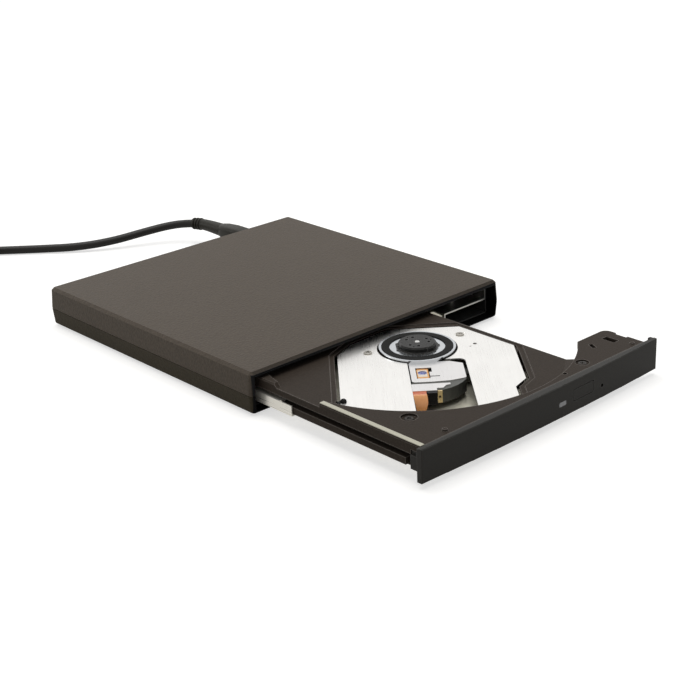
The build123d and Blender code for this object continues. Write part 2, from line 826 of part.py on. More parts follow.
def spindle_motor():
    """Stator of the spindle motor with its plate and bearing."""
    plate = post(0, hub_y, 8.6, 9.2, 10.8)
    core = post(0, hub_y, 9.2, 11.6, 8.6)
    body = plate + core
    return body - post(0, hub_y, 7, 13, shaft_radius + running_gap)


def turntable():
    """Rotor cup and disc table in one: lip, flat ring, centre boss and skirt."""
    body = post(0, hub_y, turntable_underside, turntable_top, turntable_radius)
    body = body + (post(0, hub_y, turntable_top, turntable_top + 0.25, turntable_radius)
                   - post(0, hub_y, turntable_top, turntable_top + 0.25, seat_outer + 0.1))
    skirt = post(0, hub_y, 9.6, turntable_underside, rotor_radius) - post(0, hub_y, 9, 13, rotor_radius - 0.8)
    body = body + skirt
    return body - post(0, hub_y, 0, 30, shaft_radius + 0.01)


def rubber_ring():
    """Friction ring that the disc sits on."""
    ring = post(0, hub_y, turntable_top, seat_height, seat_outer) - post(0, hub_y, 0, 30, seat_inner)
    return chamfer(ring.edges().group_by(Axis.Z)[-1], 0.1)


def spindle_shaft():
    """Polished motor shaft, seen as the light centre of the hub."""
    shaft = post(0, hub_y, 8.8, seat_height + hub_rise, shaft_radius)
    return chamfer(shaft.edges().sort_by(Axis.Z)[-1], 0.35)


def claw_angles():
    """Directions of the hub's claws in degrees."""
    return [30 + 360 / claw_count * i for i in range(claw_count)]


def claw_room(angle, gap, travel=0.0):
    """Radial pocket of one claw, deeper by its travel."""
    top = seat_height + hub_rise
    box = block(3.6 - gap - travel, hub_radius + 1, -claw_width / 2 - gap, claw_width / 2 + gap, turntable_top + 0.3 - gap, top - 0.4 + gap)
    return Pos(0, hub_y, 0) * Rot(0, 0, angle) * box


def disc_hub():
    """Black centring hub with three claw pockets and a ring of small holes."""
    top = seat_height + hub_rise
    body = post(0, hub_y, turntable_top, top, hub_radius)
    body = chamfer(body.edges().group_by(Axis.Z)[-1], 0.5)
    flange_top = seat_height - 0.08
    body = body + post(0, hub_y, turntable_top, flange_top, hub_radius + 0.9)
    for i in range(9):
        body = body + Pos(0, hub_y, 0) * Rot(0, 0, 40 * i) * post(hub_radius + 0.5, 0, turntable_top, flange_top, 0.9)
    for angle in claw_angles():
        body = body - claw_room(angle, 0.12, claw_travel)
        for turn in (-38, 38):
            body = body - Pos(0, hub_y, 0) * Rot(0, 0, angle + turn) * post(4.5, 0, top - 1.0, top + 1, 0.65)
        body = body - Pos(0, hub_y, 0) * Rot(0, 0, angle + 60) * post(5.4, 0, top - 1.0, top + 1, 0.4)
    return body - post(0, hub_y, 0, 30, shaft_radius + 0.02)


def hub_claw(angle):
    """One sprung claw that grips the disc's hole, its nose bevelled on top."""
    blank = claw_room(angle, 0) & post(0, hub_y, 0, 30, hub_radius - 0.05)
    nose = blank.edges().group_by(Axis.Z)[-1].sort_by(lambda e: -hypot(e.center().X, e.center().Y - hub_y))[0]
    return chamfer(nose, 0.35)


def guide_rods():
    """The two polished rods that the pickup rides on."""
    main = traverse * bar(5.6, 69.4, main_rod_offset, rod_height, traverse_rod_radius)
    side = traverse * bar(-5.4, 56.9, side_rod_offset, rod_height, traverse_rod_radius)
    return Compound([main, side])


def stepper_motor():
    """Small can motor that turns the lead screw, hung from the frame's cut-out."""
    can = traverse * bar(6.0, 18.0, screw_offset, rod_height, 3.4)
    strap = traverse * block(17.4, 18.0, screw_offset - 4.4, screw_offset + 4.0, rod_height - 3.4, deck_underside)
    body = can + strap
    body = body - traverse * bar(10, 22, screw_offset, rod_height, 0.8 + running_gap)
    end = traverse * block(60.6, 62.0, screw_offset - 2.2, screw_offset + 2.2, rod_height - 2.0, frame_underside)
    end = end - traverse * bar(60, 63, screw_offset, rod_height, 0.8 + running_gap)
    return Compound([body, end])


def lead_screw():
    """Lead screw with its two journals."""
    body = traverse * bar(18.2, 60.4, screw_offset, rod_height, lead_screw_radius)
    return body + traverse * bar(14.0, 61.8, screw_offset, rod_height, 0.8)


def pickup_outline():
    """The pickup body's outline along and across the travel."""
    return [
        (tail_start, -4.4),
        (pickup_inner, -4.4),
        (pickup_inner, 12.0),
        (15.9, 15.7),
        (29.4, 15.7),
        (32.2, 14.1),
        (34.8, 11.9),
        (36.8, 9.3),
        (38.3, 6.2),
        (38.3, 4.0),
        (39.4, 4.0),
        (39.4, -tail_reach),
        (tail_start, -tail_reach),
    ]


def pickup_base():
    """Cast pickup body with its bearings on both rods and the half nut on the lead screw."""
    body = prism(pickup_outline(), pickup_underside, pickup_top)
    z0 = rod_height - traverse_rod_radius - 1.0
    z1 = frame_underside - 0.3
    body = body + block(pickup_inner, 27.0, main_rod_offset - 2.6, -4.0, z0, z1)
    body = body + block(13.6, 19.5, 16.0, side_rod_offset + 2.6, z0, z1)
    body = body - bar(0, 40, main_rod_offset, rod_height, traverse_rod_radius + running_gap)
    body = body - block(0, 40, side_rod_offset, side_rod_offset + 5, rod_height - traverse_rod_radius - 0.1,
                        rod_height + traverse_rod_radius + 0.1)
    body = body - bar(0, 40, side_rod_offset, rod_height, traverse_rod_radius + running_gap)
    nut_edge = screw_offset + lead_screw_radius + 0.15
    body = body + block(21.0, 26.0, nut_edge, main_rod_offset - 2.0, rod_height - 1.2, rod_height + 1.2)
    well = block(lens_reach - 4.4, lens_reach + 5.9, -2.8, 4.0, 8.4, pickup_top + 1)
    body = body - well
    return traverse * body


def pickup_cover():
    """Silver plates of the pickup: the front one with the lens opening, the tail one beyond a gap."""
    z0 = pickup_top
    z1 = pickup_top + cover_plate_sheet
    points = [(pickup_inner, -4.5), (pickup_inner, 11.0), (15.9, 15.8), (29.2, 15.8), (31.2, 9.6), (31.7, 3.0), (31.7, -4.5)]
    plate = prism(points, z0, z1)
    corners = plate.edges().filter_by(Axis.Z).sort_by(Axis.X)
    plate = fillet([corners[-1], corners[-2], corners[-4]], 1.3)
    opening = block(lens_reach - 3.9, lens_reach + 5.6, -2.4, 2.6, 0, 30)
    opening = opening + block(lens_reach - 3.9, lens_reach - 0.1, 2.5, 3.6, 0, 30)
    slit = block(lens_reach + 3.6, lens_reach + 4.3, 2.5, 6.2, 0, 30)
    tail = prism([(tail_start, -tail_reach), (tail_start, 9.3), (34.6, 9.3), (35.2, 7.6), (37.4, 6.4), (37.4, 4.0),
                  (39.4, 4.0), (39.4, -tail_reach)], z0, z1)
    return traverse * Compound([plate - opening - slit, tail])


def lens_holder():
    """Sprung lens carrier with its coil, in the well of the pickup."""
    holder = block(lens_reach - 3.5, lens_reach + 5.0, -2.1, 2.3, 9.4, pickup_top + 0.1)
    holder = fillet(holder.edges().filter_by(Axis.Z), 0.6)
    holder = holder - post(lens_reach, 0, pickup_top - 0.7, 20, lens_radius + 0.02)
    return traverse * (holder - post(lens_reach, 0, 0, 20, 1.1))


def objective_lens():
    """Blue-coated objective lens, a shallow dome on a flat rim."""
    rim = post(lens_reach, 0, pickup_top - 0.7, pickup_top - 0.1, lens_radius)
    ball = 2.6
    dome = Pos(lens_reach, 0, pickup_top - 0.1 - sqrt(ball ** 2 - 1.3 ** 2)) * Sphere(ball)
    dome = dome & post(lens_reach, 0, pickup_top - 0.1, pickup_top + 1, 1.3)
    return traverse * (rim + dome)


def pickup_flex():
    """Orange flat cable that hangs from the pickup's end and turns back beneath it."""
    x = 39.4
    outline = FilletPolyline((x + 0.05, pickup_top + 0.15), (x + 1.5, pickup_top + 0.15), (x + 4.0, 9.6), (x + 5.2, 6.4),
                             (x + 4.6, 5.05), (x - 7.0, 5.05), radius=[1.0, 3.0, 0.8, 0.8])
    ribbon = extrude(Plane.XZ * trace(outline, 0.2), 5.0 / 2, both=True)
    return traverse * (Pos(0, -2.5, 0) * ribbon)


def pickup_connector():
    """Black flex connector at the pickup's end."""
    return traverse * block(39.5, 41.1, 0.35, 3.9, pickup_underside + 0.6, pickup_top + 0.2)


def pickup_clip():
    """Gilt contact clip beside the connector."""
    clip = block(38.4, 39.2, 4.2, 5.9, pickup_underside + 0.4, pickup_top - 0.1)
    return traverse * (clip - bar(38, 40, 5.0, 9.3, 0.5))


def rubber_dampers():
    """Rubber mounts in the frame's holes round the tray's posts."""
    made = []
    for (along, across), _ in damper_places():
        x, y = plan_point(along, across)
        pad = post(x, y, frame_underside - 0.6, deck_underside - 0.05, 2.55) - post(x, y, 0, 30, 1.15)
        made.append(pad)
    return Compound(made)


def damper_cap():
    """Rubber cap that shows at the deck plate's corner."""
    x, y = plan_point(*damper_places()[0][0])
    return chamfer(post(x, y, deck_underside - 0.05, deck_top + 1.1, cap_radius).edges().sort_by(Axis.Z)[-1], 0.4)


def deck_screws():
    """The two deck screws with washers."""
    made = []
    for along, across in deck_screw_places():
        x, y = plan_point(along, across)
        made.append(pan_head_screw(x, y, deck_top - deck_dimple, 1.6, 0.8, 2.5))
    return Compound(made)


def tray_board():
    """Board under the tray's rear floor, with the spindle driver chip."""
    y0 = hub_y + 25.0
    z = tray_underside + bottom_cover_sheet
    board = block(-50.0, 18.0, y0, cavity_rear - 2.0, z + 0.6, z + 1.6)
    for x in (-46.0, 14.0):
        for y in (y0 + 3, cavity_rear - 5):
            board = board + post(x, y, z, z + 0.7, 1.5)
    board = board + block(-22.0, -12.0, y0 + 8, y0 + 18, z + 1.5, z + 2.6)
    return board + block(0.0, 12.0, y0 + 10, y0 + 13, z + 1.5, z + 3.4)


def latch_height():
    """Underside of the latch lever."""
    return shelf_height + 0.9


def latch_pivot():
    """Plan position of the latch lever's pivot under the ear."""
    return (49.4, bezel_front + 6.0)


def latch_pin_x():
    """X of the pin that the latch hooks."""
    return 54.0


def latch_pin_y():
    """Y of the latch pin, which lies in the hook when the tray is shut."""
    return bezel_front + 14.9 + tray_out


def latch_lever():
    """Lock lever under the ear, with a finger that holds the pin when the tray is shut."""
    x, y = latch_pivot()
    z0 = latch_height()
    z1 = z0 + 1.2
    arm = block(x - 1.1, x + 1.1, y - 2.0, bezel_front + 17.6, z0, z1)
    finger = block(x + 1.0, latch_pin_x() + 0.7, bezel_front + 16.4, bezel_front + 17.6, z0, z1)
    arm = arm + finger + post(x, y, z0, z1, 2.4)
    return arm - post(x, y, 0, 30, 1.0 + running_gap)


def latch_post():
    """Pivot pin of the lever, riveted in the ear, with a head below."""
    x, y = latch_pivot()
    return post(x, y, latch_height() - 0.15, ear_underside, 1.0) + post(x, y, latch_height() - 0.6, latch_height() - 0.15, 1.7)


def latch_solenoid():
    """Magnet that releases the latch, under the ear."""
    z0 = shelf_height + 0.7
    body = block(39.6, 46.2, bezel_front + 4.6, bezel_front + 12.6, z0, ear_underside)
    return body + Pos(46.6, bezel_front + 10.0, (z0 + ear_underside) / 2) * Rot(0, 90, 0) * Cylinder(0.8, 1.2)


def bridge_board():
    """Bridge board between the drive and the case's rear wall."""
    y0 = behind(drive_length + 1.4)
    y1 = behind(case_depth - wall - 0.6)
    z = bridge_top()
    board = block(-40.0, 55.0, y0, y1, z - 1.0, z)
    board = board + block(-4.0, 5.0, y0 + 0.6, y0 + 7.6, z - 0.1, z + 1.1)
    for x in (-36.0, 30.0):
        board = board + post(x, (y0 + y1) / 2, case_floor, z - 0.9, 1.6)
    return board


def bridge_top():
    """Top face of the bridge board, on which the socket stands."""
    return plug_z - 2.1


def drive_connector():
    """Connector block between the drive's board and the bridge board."""
    y0 = behind(drive_length - 3.0)
    y1 = behind(drive_length + 3.4)
    return block(37.0, 55.0, y0, y1, pan_floor + 0.2, bridge_top() - 1.0)


def usb_socket():
    """Socket on the bridge board: a folded metal shell round a tongue."""
    y1 = behind(case_depth - 0.3)
    y0 = y1 - 8.0
    z = plug_z
    shell = block(plug_x - 3.85, plug_x + 3.85, y0, y1, z - 2.1, z + 2.0)
    room = block(plug_x - 3.5, plug_x + 3.5, y0 + 0.6, y1 + 1, z - 1.75, z + 1.65)
    tongue = block(plug_x - 2.6, plug_x + 2.6, y0 + 0.5, y1 - 2.6, z - 0.3, z + 0.3)
    return shell - room + tongue


def plug_back():
    """Y of the end of the small plug's grip."""
    return behind(case_depth + plug_clearance + plug_length)


def cord_start():
    """Y where the lead leaves the strain relief."""
    return plug_back() + relief_length


def small_plug():
    """Moulded grip of the small plug, with a waist, a raised face and a ribbed strain relief."""
    y0 = behind(case_depth + plug_clearance)
    y1 = plug_back()
    sections = []
    for share, w, h in ((0.0, 0.86, 0.84), (0.14, 1.0, 1.0), (0.62, 1.0, 1.0), (1.0, 0.74, 0.82)):
        y = y0 + (y1 - y0) * share
        plane = Plane(origin=(plug_x, y, plug_z), x_dir=(1, 0, 0), z_dir=(0, 1, 0))
        sections.append(plane * RectangleRounded(plug_width * w, plug_height * h, 1.6))
    grip = loft(sections, ruled=True)
    relief = Pos(plug_x, (y1 + cord_start()) / 2, plug_z) * Rot(90, 0, 0) * Cone(cord_radius + 0.35, relief_radius, cord_start() - y1)
    for i in range(3):
        y = y1 + relief_length * (0.22 + 0.27 * i)
        ring = Pos(plug_x, y, plug_z) * Rot(90, 0, 0) * Cylinder(relief_radius + 0.2 - 0.25 * i, 0.7)
        relief = relief + ring
    return grip + relief


def small_plug_tip():
    """Metal shell of the small plug, seated in the socket."""
    y1 = behind(case_depth + plug_clearance)
    y0 = y1 - 6.2
    tip = block(plug_x - 3.3, plug_x + 3.3, y0, y1, plug_z - 1.5, plug_z + 1.45)
    room = block(plug_x - 2.9, plug_x + 2.9, y0 - 1, y1 - 0.6, plug_z - 1.1, plug_z + 1.05)
    return tip - room


def lead_points():
    """Hand-set route of the lead from the strain relief to the coil, its last run along the coil."""
    y = cord_start()
    floor = cord_radius
    cx, cy = coil_centre
    join = (cx, cy + coil_outer, cord_radius + coil_lift)
    return [
        (plug_x, y, plug_z),
        (plug_x, y + 8.4, plug_z),
        (plug_x - 3.0, y + 16.2, plug_z - 0.4),
        (plug_x - 9.4, y + 23.8, plug_z - 1.4),
        (plug_x - 21.0, y + 30.0, plug_z - 3.4),
        (plug_x - 36.0, y + 36.6, plug_z - 6.0),
        (plug_x - 50.4, y + 45.8, floor + 0.5),
        (plug_x - 63.4, y + 58.4, floor),
        (plug_x - 77.0, y + 70.6, floor),
        (plug_x - 93.2, y + 84.6, floor + 0.2),
        (plug_x - 104.2, y + 92.6, join[2]),
        (plug_x - 115.6, join[1], join[2]),
        join,
    ]


def lead_radii(points):
    """A radius for each corner: 0.45 of the shorter run over the tangent of half the turn."""
    made = []
    for a, b, c in zip(points, points[1:], points[2:]):
        first = Vector(*b) - Vector(*a)
        second = Vector(*c) - Vector(*b)
        turn = radians(first.get_angle(second))
        made.append(0.45 * min(first.length, second.length) / (sin(turn / 2) / cos(turn / 2)))
    return made


def tube(path, wound=False):
    """The lead's round section along a path."""
    start = path @ 0
    face = Plane(origin=start, z_dir=path % 0) * Circle(cord_radius)
    return sweep(face, path=path, is_frenet=wound)


def stretch(points, name):
    """One free stretch of the lead, with its radii and volume printed."""
    radii = lead_radii(points)
    path = FilletPolyline(*points, radius=radii)
    body = tube(path)
    area = pi * cord_radius ** 2
    print(name, "radii", [round(r, 1) for r in radii], "length", round(path.length, 1),
          "volume share", round(body.volume / (area * path.length), 4))
    return body


def coil_crossings():
    """Signed distance from the coil's centre and height at each half turn."""
    low = cord_radius + coil_lift
    high = low + coil_pitch
    made = []
    radius = coil_outer
    for i in range(coil_half_turns + 1):
        made.append((radius, low))
        radius -= coil_pitch / 2 if i < coil_half_turns else 0
    made.append((radius, high))
    for _ in range(coil_pieces - coil_half_turns - 1):
        radius += coil_pitch / 2
        made.append((radius, high))
    return [(r * (-1) ** i, z) for i, (r, z) in enumerate(made)]


def coil_point(signed, z):
    """A crossing of the coil from its signed radius and height."""
    cx, cy = coil_centre
    return (cx, cy + signed, z)


def coil_arcs():
    """The coil's half turns, each one arc between two crossings."""
    cx, cy = coil_centre
    arcs = []
    marks = coil_crossings()
    for (r0, z0), (r1, z1) in zip(marks, marks[1:]):
        half = hypot((r0 - r1) / 2, (z1 - z0) / 2)
        centre_y = cy + (r0 + r1) / 2
        middle = (cx - half if r0 > r1 else cx + half, centre_y, (z0 + z1) / 2)
        arcs.append(ThreePointArc((cx, cy + r0, z0), middle, (cx, cy + r1, z1)))
    return arcs


def coil_gap():
    """Least gap between two turns of the coil, measured on points along it."""
    steps = 48
    marks = []
    for arc in coil_arcs():
        for i in range(steps):
            p = arc @ (i / steps)
            marks.append((p.X, p.Y, p.Z))
    least = 1e9
    for i, a in enumerate(marks):
        for b in marks[i + steps // 2:]:
            d = sqrt((a[0] - b[0]) ** 2 + (a[1] - b[1]) ** 2 + (a[2] - b[2]) ** 2)
            least = min(least, d)
    return least - 2 * cord_radius


def cord_coil():
    """The put-away length: two layers that spiral in and out again, one unbroken tube."""
    path = Wire(coil_arcs())
    body = tube(path, True)
    area = pi * cord_radius ** 2
    print("cord_coil length", round(path.length, 1), "least gap", round(coil_gap(), 2),
          "volume share", round(body.volume / (area * path.length), 4))
    return body


def tail_points():
    """The short end of the lead from the coil's upper layer down to the big plug."""
    signed, z = coil_crossings()[-1]
    x, y, z = coil_point(signed, z)
    low = big_plug_z()
    return [(x, y, z), (x - tail_run, y, z), (x - 3.0 * tail_run, y, low), (x - 3.9 * tail_run, y, low)]


def big_plug_z():
    """Height of the big plug's middle: its grip lies on the floor."""
    return 4.1


def big_plug_grip():
    """Moulded grip of the computer-end plug."""
    x, y, z = tail_points()[-1]
    sections = []
    for dx, w, h in ((0.0, 6.0, 6.0), (8.0, 12.0, 8.0), (27.0, 15.4, 8.0)):
        plane = Plane(origin=(x - dx, y, z), x_dir=(0, 1, 0), z_dir=(-1, 0, 0))
        sections.append(plane * RectangleRounded(w, h, 1.8))
    return loft(sections, ruled=True)


def big_plug_shell():
    """Metal shell of the computer-end plug, with its two square windows and its tongue."""
    x, y, z = tail_points()[-1]
    x1 = x - 27.0
    x0 = x1 - 12.0
    shell = block(x0, x1, y - 6.0, y + 6.0, z - 2.25, z + 2.25)
    shell = shell - block(x0 - 1, x1 - 0.6, y - 5.7, y + 5.7, z - 1.95, z + 1.95)
    shell = shell + block(x0 + 0.8, x1 - 0.5, y - 5.6, y + 5.6, z + 0.1, z + 1.9)
    for dy in (-2.7, 2.7):
        shell = shell - block(x0 + 5.0, x0 + 7.4, y + dy - 1.2, y + dy + 1.2, z + 1.95, z + 4)
    return shell


def cord_tie():
    """Flat tie round the coil's turns at its near side."""
    cx, cy = coil_centre
    inner = coil_outer - coil_half_turns * coil_pitch / 2 - cord_radius - 0.3
    outer = coil_outer + coil_pitch / 2 + cord_radius + 0.3
    z0 = coil_lift - tie_sheet - 0.2
    z1 = cord_radius * 2 + coil_lift + coil_pitch + 0.3
    body = block(cx - tie_width / 2, cx + tie_width / 2, cy - outer - tie_sheet - 1.0, cy - inner + tie_sheet + 0.6, z0, z1 + tie_sheet)
    room = block(cx - tie_width, cx + tie_width, cy - outer - 1.0, cy - inner + 0.6, z0 + tie_sheet, z1)
    return body - room


def make_parts():
    """Every node's name with its solid or group of solids."""
    made = {
        "top_shell": top_shell(),
        "bottom_shell": bottom_shell(),
        "rubber_feet": rubber_feet(),
        "shell_screws": shell_screws(),
        "drive_mount_screws": drive_mount_screws(),
        "drive_base_pan": drive_base_pan(),
        "drive_top_cover": drive_top_cover(),
        "board_cover": board_cover(),
        "drive_board": drive_board(),
        "left_rail_guide": left_rail_guide(),
        "right_rail_guide": right_rail_guide(),
        "bridge_board": bridge_board(),
        "drive_connector": drive_connector(),
        "usb_socket": usb_socket(),
        "left_rail": steel_rail(-1, left_web()),
        "right_rail": steel_rail(1, right_web()),
        "tray": tray(),
        "tray_bottom_cover": tray_bottom_cover(),
        "edge_strip": edge_strip(),
        "bezel": bezel(),
        "led_lens": led_lens(),
        "front_board": front_board(),
        "eject_switch": eject_switch(),
        "eject_button": eject_button(),
        "tray_screws": tray_screws(),
        "deck_plate": deck_plate(),
        "deck_screws": deck_screws(),
        "traverse_frame": traverse_frame(),
        "rubber_dampers": rubber_dampers(),
        "damper_cap": damper_cap(),
        "tray_board": tray_board(),
        "guide_rods": guide_rods(),
        "stepper_motor": stepper_motor(),
        "lead_screw": lead_screw(),
        "spindle_motor": spindle_motor(),
        "turntable": turntable(),
        "rubber_ring": rubber_ring(),
        "disc_hub": disc_hub(),
        "spindle_shaft": spindle_shaft(),
        "pickup_base": pickup_base(),
        "pickup_cover": pickup_cover(),
        "pickup_flex": pickup_flex(),
        "pickup_connector": pickup_connector(),
        "pickup_clip": pickup_clip(),
        "lens_holder": lens_holder(),
        "objective_lens": objective_lens(),
        "latch_lever": latch_lever(),
        "latch_post": latch_post(),
        "latch_solenoid": latch_solenoid(),
        "small_plug": small_plug(),
        "small_plug_tip": small_plug_tip(),
        "cord_lead": stretch(lead_points(), "cord_lead"),
        "cord_coil": cord_coil(),
        "cord_tail": stretch(tail_points(), "cord_tail"),
        "cord_tie": cord_tie(),
        "big_plug_grip": big_plug_grip(),
        "big_plug_shell": big_plug_shell(),
    }
    for i, angle in enumerate(claw_angles()):
        made[f"hub_claw_{i + 1}"] = hub_claw(angle)
    return made


def main():
    """Build every part and write one file for each."""
    os.makedirs("parts", exist_ok=True)
    for name, shape in make_parts().items():
        export_step(shape, f"parts/{name}.step")


main()
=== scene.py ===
"""Dresses the external disc drive: finishes for every solid, the lead, plugs, screws and soft pieces.

Metres, in the frame of the solids: +Z up, +X to the right seen from the front, the tray opens
towards -Y. The script loads the solids, adds the pieces that ride on them, and reports the result.
"""

from __future__ import annotations

import json
import logging
import math
from dataclasses import dataclass
from enum import Enum

import bmesh
import bpy
from mathutils import Matrix, Vector

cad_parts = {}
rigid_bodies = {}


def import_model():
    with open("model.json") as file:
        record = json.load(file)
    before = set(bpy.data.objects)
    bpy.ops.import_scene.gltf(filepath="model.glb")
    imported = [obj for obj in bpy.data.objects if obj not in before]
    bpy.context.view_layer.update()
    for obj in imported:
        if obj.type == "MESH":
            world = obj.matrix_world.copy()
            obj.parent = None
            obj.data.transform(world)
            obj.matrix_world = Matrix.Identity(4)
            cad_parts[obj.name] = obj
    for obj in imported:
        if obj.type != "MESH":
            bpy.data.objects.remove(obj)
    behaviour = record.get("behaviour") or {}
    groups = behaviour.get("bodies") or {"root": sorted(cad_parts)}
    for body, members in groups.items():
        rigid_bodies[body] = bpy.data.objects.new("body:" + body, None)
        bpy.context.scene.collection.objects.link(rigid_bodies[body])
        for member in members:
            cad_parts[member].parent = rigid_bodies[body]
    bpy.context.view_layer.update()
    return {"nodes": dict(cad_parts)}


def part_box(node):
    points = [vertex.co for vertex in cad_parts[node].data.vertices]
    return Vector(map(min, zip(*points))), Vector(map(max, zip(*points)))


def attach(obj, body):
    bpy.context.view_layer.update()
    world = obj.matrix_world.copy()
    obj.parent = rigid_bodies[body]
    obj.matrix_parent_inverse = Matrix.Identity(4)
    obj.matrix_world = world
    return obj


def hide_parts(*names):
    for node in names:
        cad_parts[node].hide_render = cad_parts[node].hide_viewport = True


log = logging.getLogger("drive")

Point = tuple[float, float, float]
Colour = tuple[float, float, float]

# What the finishes share with the solids: the case's middle, the spindle, the pickup's direction
CASE_X = 0.00035
HUB_Y = -0.0445
TRAVEL_ANGLE = math.radians(49.5)

ALONG_Y = math.pi / 2
FULL_TURN = 2.0 * math.pi


def mm(value: float) -> float:
    """Millimetres as metres."""
    return value / 1000.0


def travel_point(along: float, across: float) -> tuple[float, float]:
    """Plan position of a point given from the hub along and across the pickup's travel.

    Args:
        along: Millimetres from the hub towards the tray's front left corner.
        across: Millimetres to the right of that line, seen along it.

    Returns:
        X and Y in metres.
    """
    c = math.cos(TRAVEL_ANGLE)
    s = math.sin(TRAVEL_ANGLE)
    return mm(-c * along + s * across), HUB_Y + mm(-s * along - c * across)


# Shader expressions


class Value:
    """A number that varies over a surface: a shader socket with arithmetic."""

    def __init__(self, recipe: "Recipe", socket: bpy.types.NodeSocket) -> None:
        """Wraps a socket of a recipe's tree."""
        self.recipe = recipe
        self.socket = socket

    def _maths(self, operation: str, first: "Value | float", second: "Value | float" = 0.0) -> "Value":
        """Adds one Math node."""
        node = self.recipe.node("ShaderNodeMath", {"operation": operation}, {0: first, 1: second})
        return Value(self.recipe, node.outputs[0])

    def __add__(self, other: "Value | float") -> "Value":
        """Sum."""
        return self._maths("ADD", self, other)

    __radd__ = __add__

    def __sub__(self, other: "Value | float") -> "Value":
        """Difference."""
        return self._maths("SUBTRACT", self, other)

    def __rsub__(self, other: float) -> "Value":
        """Difference from a number."""
        return self._maths("SUBTRACT", other, self)

    def __mul__(self, other: "Value | float") -> "Value":
        """Product."""
        return self._maths("MULTIPLY", self, other)

    __rmul__ = __mul__

    def wave(self, length: float) -> "Value":
        """Sine of this wavelength."""
        return self._maths("SINE", self * (FULL_TURN / length))

    def size(self) -> "Value":
        """Absolute value."""
        return self._maths("ABSOLUTE", self)

    def most(self, other: "Value | float") -> "Value":
        """The larger of two."""
        return self._maths("MAXIMUM", self, other)

    def ramp(self, low: float, high: float) -> "Value":
        """Maps low..high to 0..1, held at both ends."""
        node = self.recipe.node("ShaderNodeMapRange", {"clamp": True}, {0: self, 1: low, 2: high})
        return Value(self.recipe, node.outputs[0])


Input = Value | float | tuple | bpy.types.NodeSocket


class Recipe:
    """One material under construction."""

    def __init__(self, name: str) -> None:
        """Starts an empty node material."""
        self.material = bpy.data.materials.new(name)
        self.material.use_nodes = True
        self.tree = self.material.node_tree
        self.tree.nodes.clear()
        self.shader = self.node("ShaderNodeBsdfPrincipled")
        self.node("ShaderNodeOutputMaterial", inputs={"Surface": self.shader.outputs[0]})
        self.place = self.node("ShaderNodeTexCoord").outputs["Object"]

    def node(
        self,
        kind: str,
        settings: dict[str, object] | None = None,
        inputs: dict[int | str, Input] | None = None,
    ) -> bpy.types.Node:
        """Adds a node.

        Args:
            kind: Blender's name of the node's type.
            settings: Its own properties.
            inputs: Values or links of its sockets by name or number.

        Returns:
            The new node.
        """
        made = self.tree.nodes.new(kind)
        for key, value in (settings or {}).items():
            setattr(made, key, value)
        for key, value in (inputs or {}).items():
            self.feed(made.inputs[key], value)
        return made

    def feed(self, socket: bpy.types.NodeSocket, value: Input) -> None:
        """Links a socket, or sets its own value."""
        if isinstance(value, Value):
            value = value.socket
        if isinstance(value, bpy.types.NodeSocket):
            self.tree.links.new(value, socket)
        elif isinstance(value, tuple) and len(value) == 3 and len(socket.default_value) == 4:
            socket.default_value = (*value, 1.0)
        else:
            socket.default_value = value

    def placed(
        self, turn: float = 0.0, stretch: Point = (1.0, 1.0, 1.0), centre: Point = (0.0, 0.0, 0.0)
    ) -> bpy.types.NodeSocket:
        """Object coordinates moved to a centre, turned about Z, then stretched.

        Args:
            turn: Angle in radians from the scene's X axis to the pattern's own.
            stretch: Factors along the pattern's axes.
            centre: The pattern's origin in metres.

        Returns:
            A vector socket.
        """
        moved = self.node("ShaderNodeVectorMath", {"operation": "SUBTRACT"}, {0: self.place, 1: centre})
        turned = self.node(
            "ShaderNodeMapping", inputs={"Vector": moved.outputs[0], "Rotation": (0.0, 0.0, -turn)}
        )
        scaled = self.node(
            "ShaderNodeVectorMath", {"operation": "MULTIPLY"}, {0: turned.outputs[0], 1: stretch}
        )
        return scaled.outputs[0]

    def axes(self, vector: bpy.types.NodeSocket) -> tuple[Value, Value, Value]:
        """The three numbers of a vector."""
        parts = self.node("ShaderNodeSeparateXYZ", inputs={0: vector}).outputs
        return Value(self, parts[0]), Value(self, parts[1]), Value(self, parts[2])

    def noise(
        self, scale: float, detail: float, vector: bpy.types.NodeSocket | None = None, rough: float = 0.5
    ) -> Value:
        """Noise, 0 to 1."""
        made = self.node(
            "ShaderNodeTexNoise",
            inputs={"Vector": vector or self.place, "Scale": scale, "Detail": detail, "Roughness": rough},
        )
        return Value(self, made.outputs[0])

    def cells(self, scale: float) -> Value:
        """Distance to the nearest cell point."""
        made = self.node("ShaderNodeTexVoronoi", inputs={"Vector": self.place, "Scale": scale})
        return Value(self, made.outputs["Distance"])

    def mix(self, first: Input, second: Input, share: Input) -> bpy.types.NodeSocket:
        """A colour between two."""
        made = self.node("ShaderNodeMix", {"data_type": "RGBA"})
        self.feed(made.inputs[0], share)
        self.feed(made.inputs[6], first)
        self.feed(made.inputs[7], second)
        return made.outputs[2]

    def edge(self, radius: float) -> Value:
        """1 along edges sharper than the radius in metres, 0 on flat faces."""
        soft = self.node("ShaderNodeBevel", {"samples": 6}, {"Radius": radius}).outputs[0]
        true = self.node("ShaderNodeNewGeometry").outputs["Normal"]
        likeness = self.node("ShaderNodeVectorMath", {"operation": "DOT_PRODUCT"}, {0: soft, 1: true})
        return Value(self, likeness.outputs["Value"]).ramp(0.98, 0.8)

    def relief(self, height: Value, depth: float) -> None:
        """Feeds the normal with a bump of this depth in metres."""
        made = self.node("ShaderNodeBump", inputs={"Strength": 1.0, "Distance": depth, "Height": height})
        self.feed(self.shader.inputs["Normal"], made.outputs[0])

    def set(self, **sockets: Input) -> None:
        """Sets the shader's sockets by name, with spaces for underscores."""
        for name, value in sockets.items():
            self.feed(self.shader.inputs[name.replace("_", " ")], value)


# Finishes


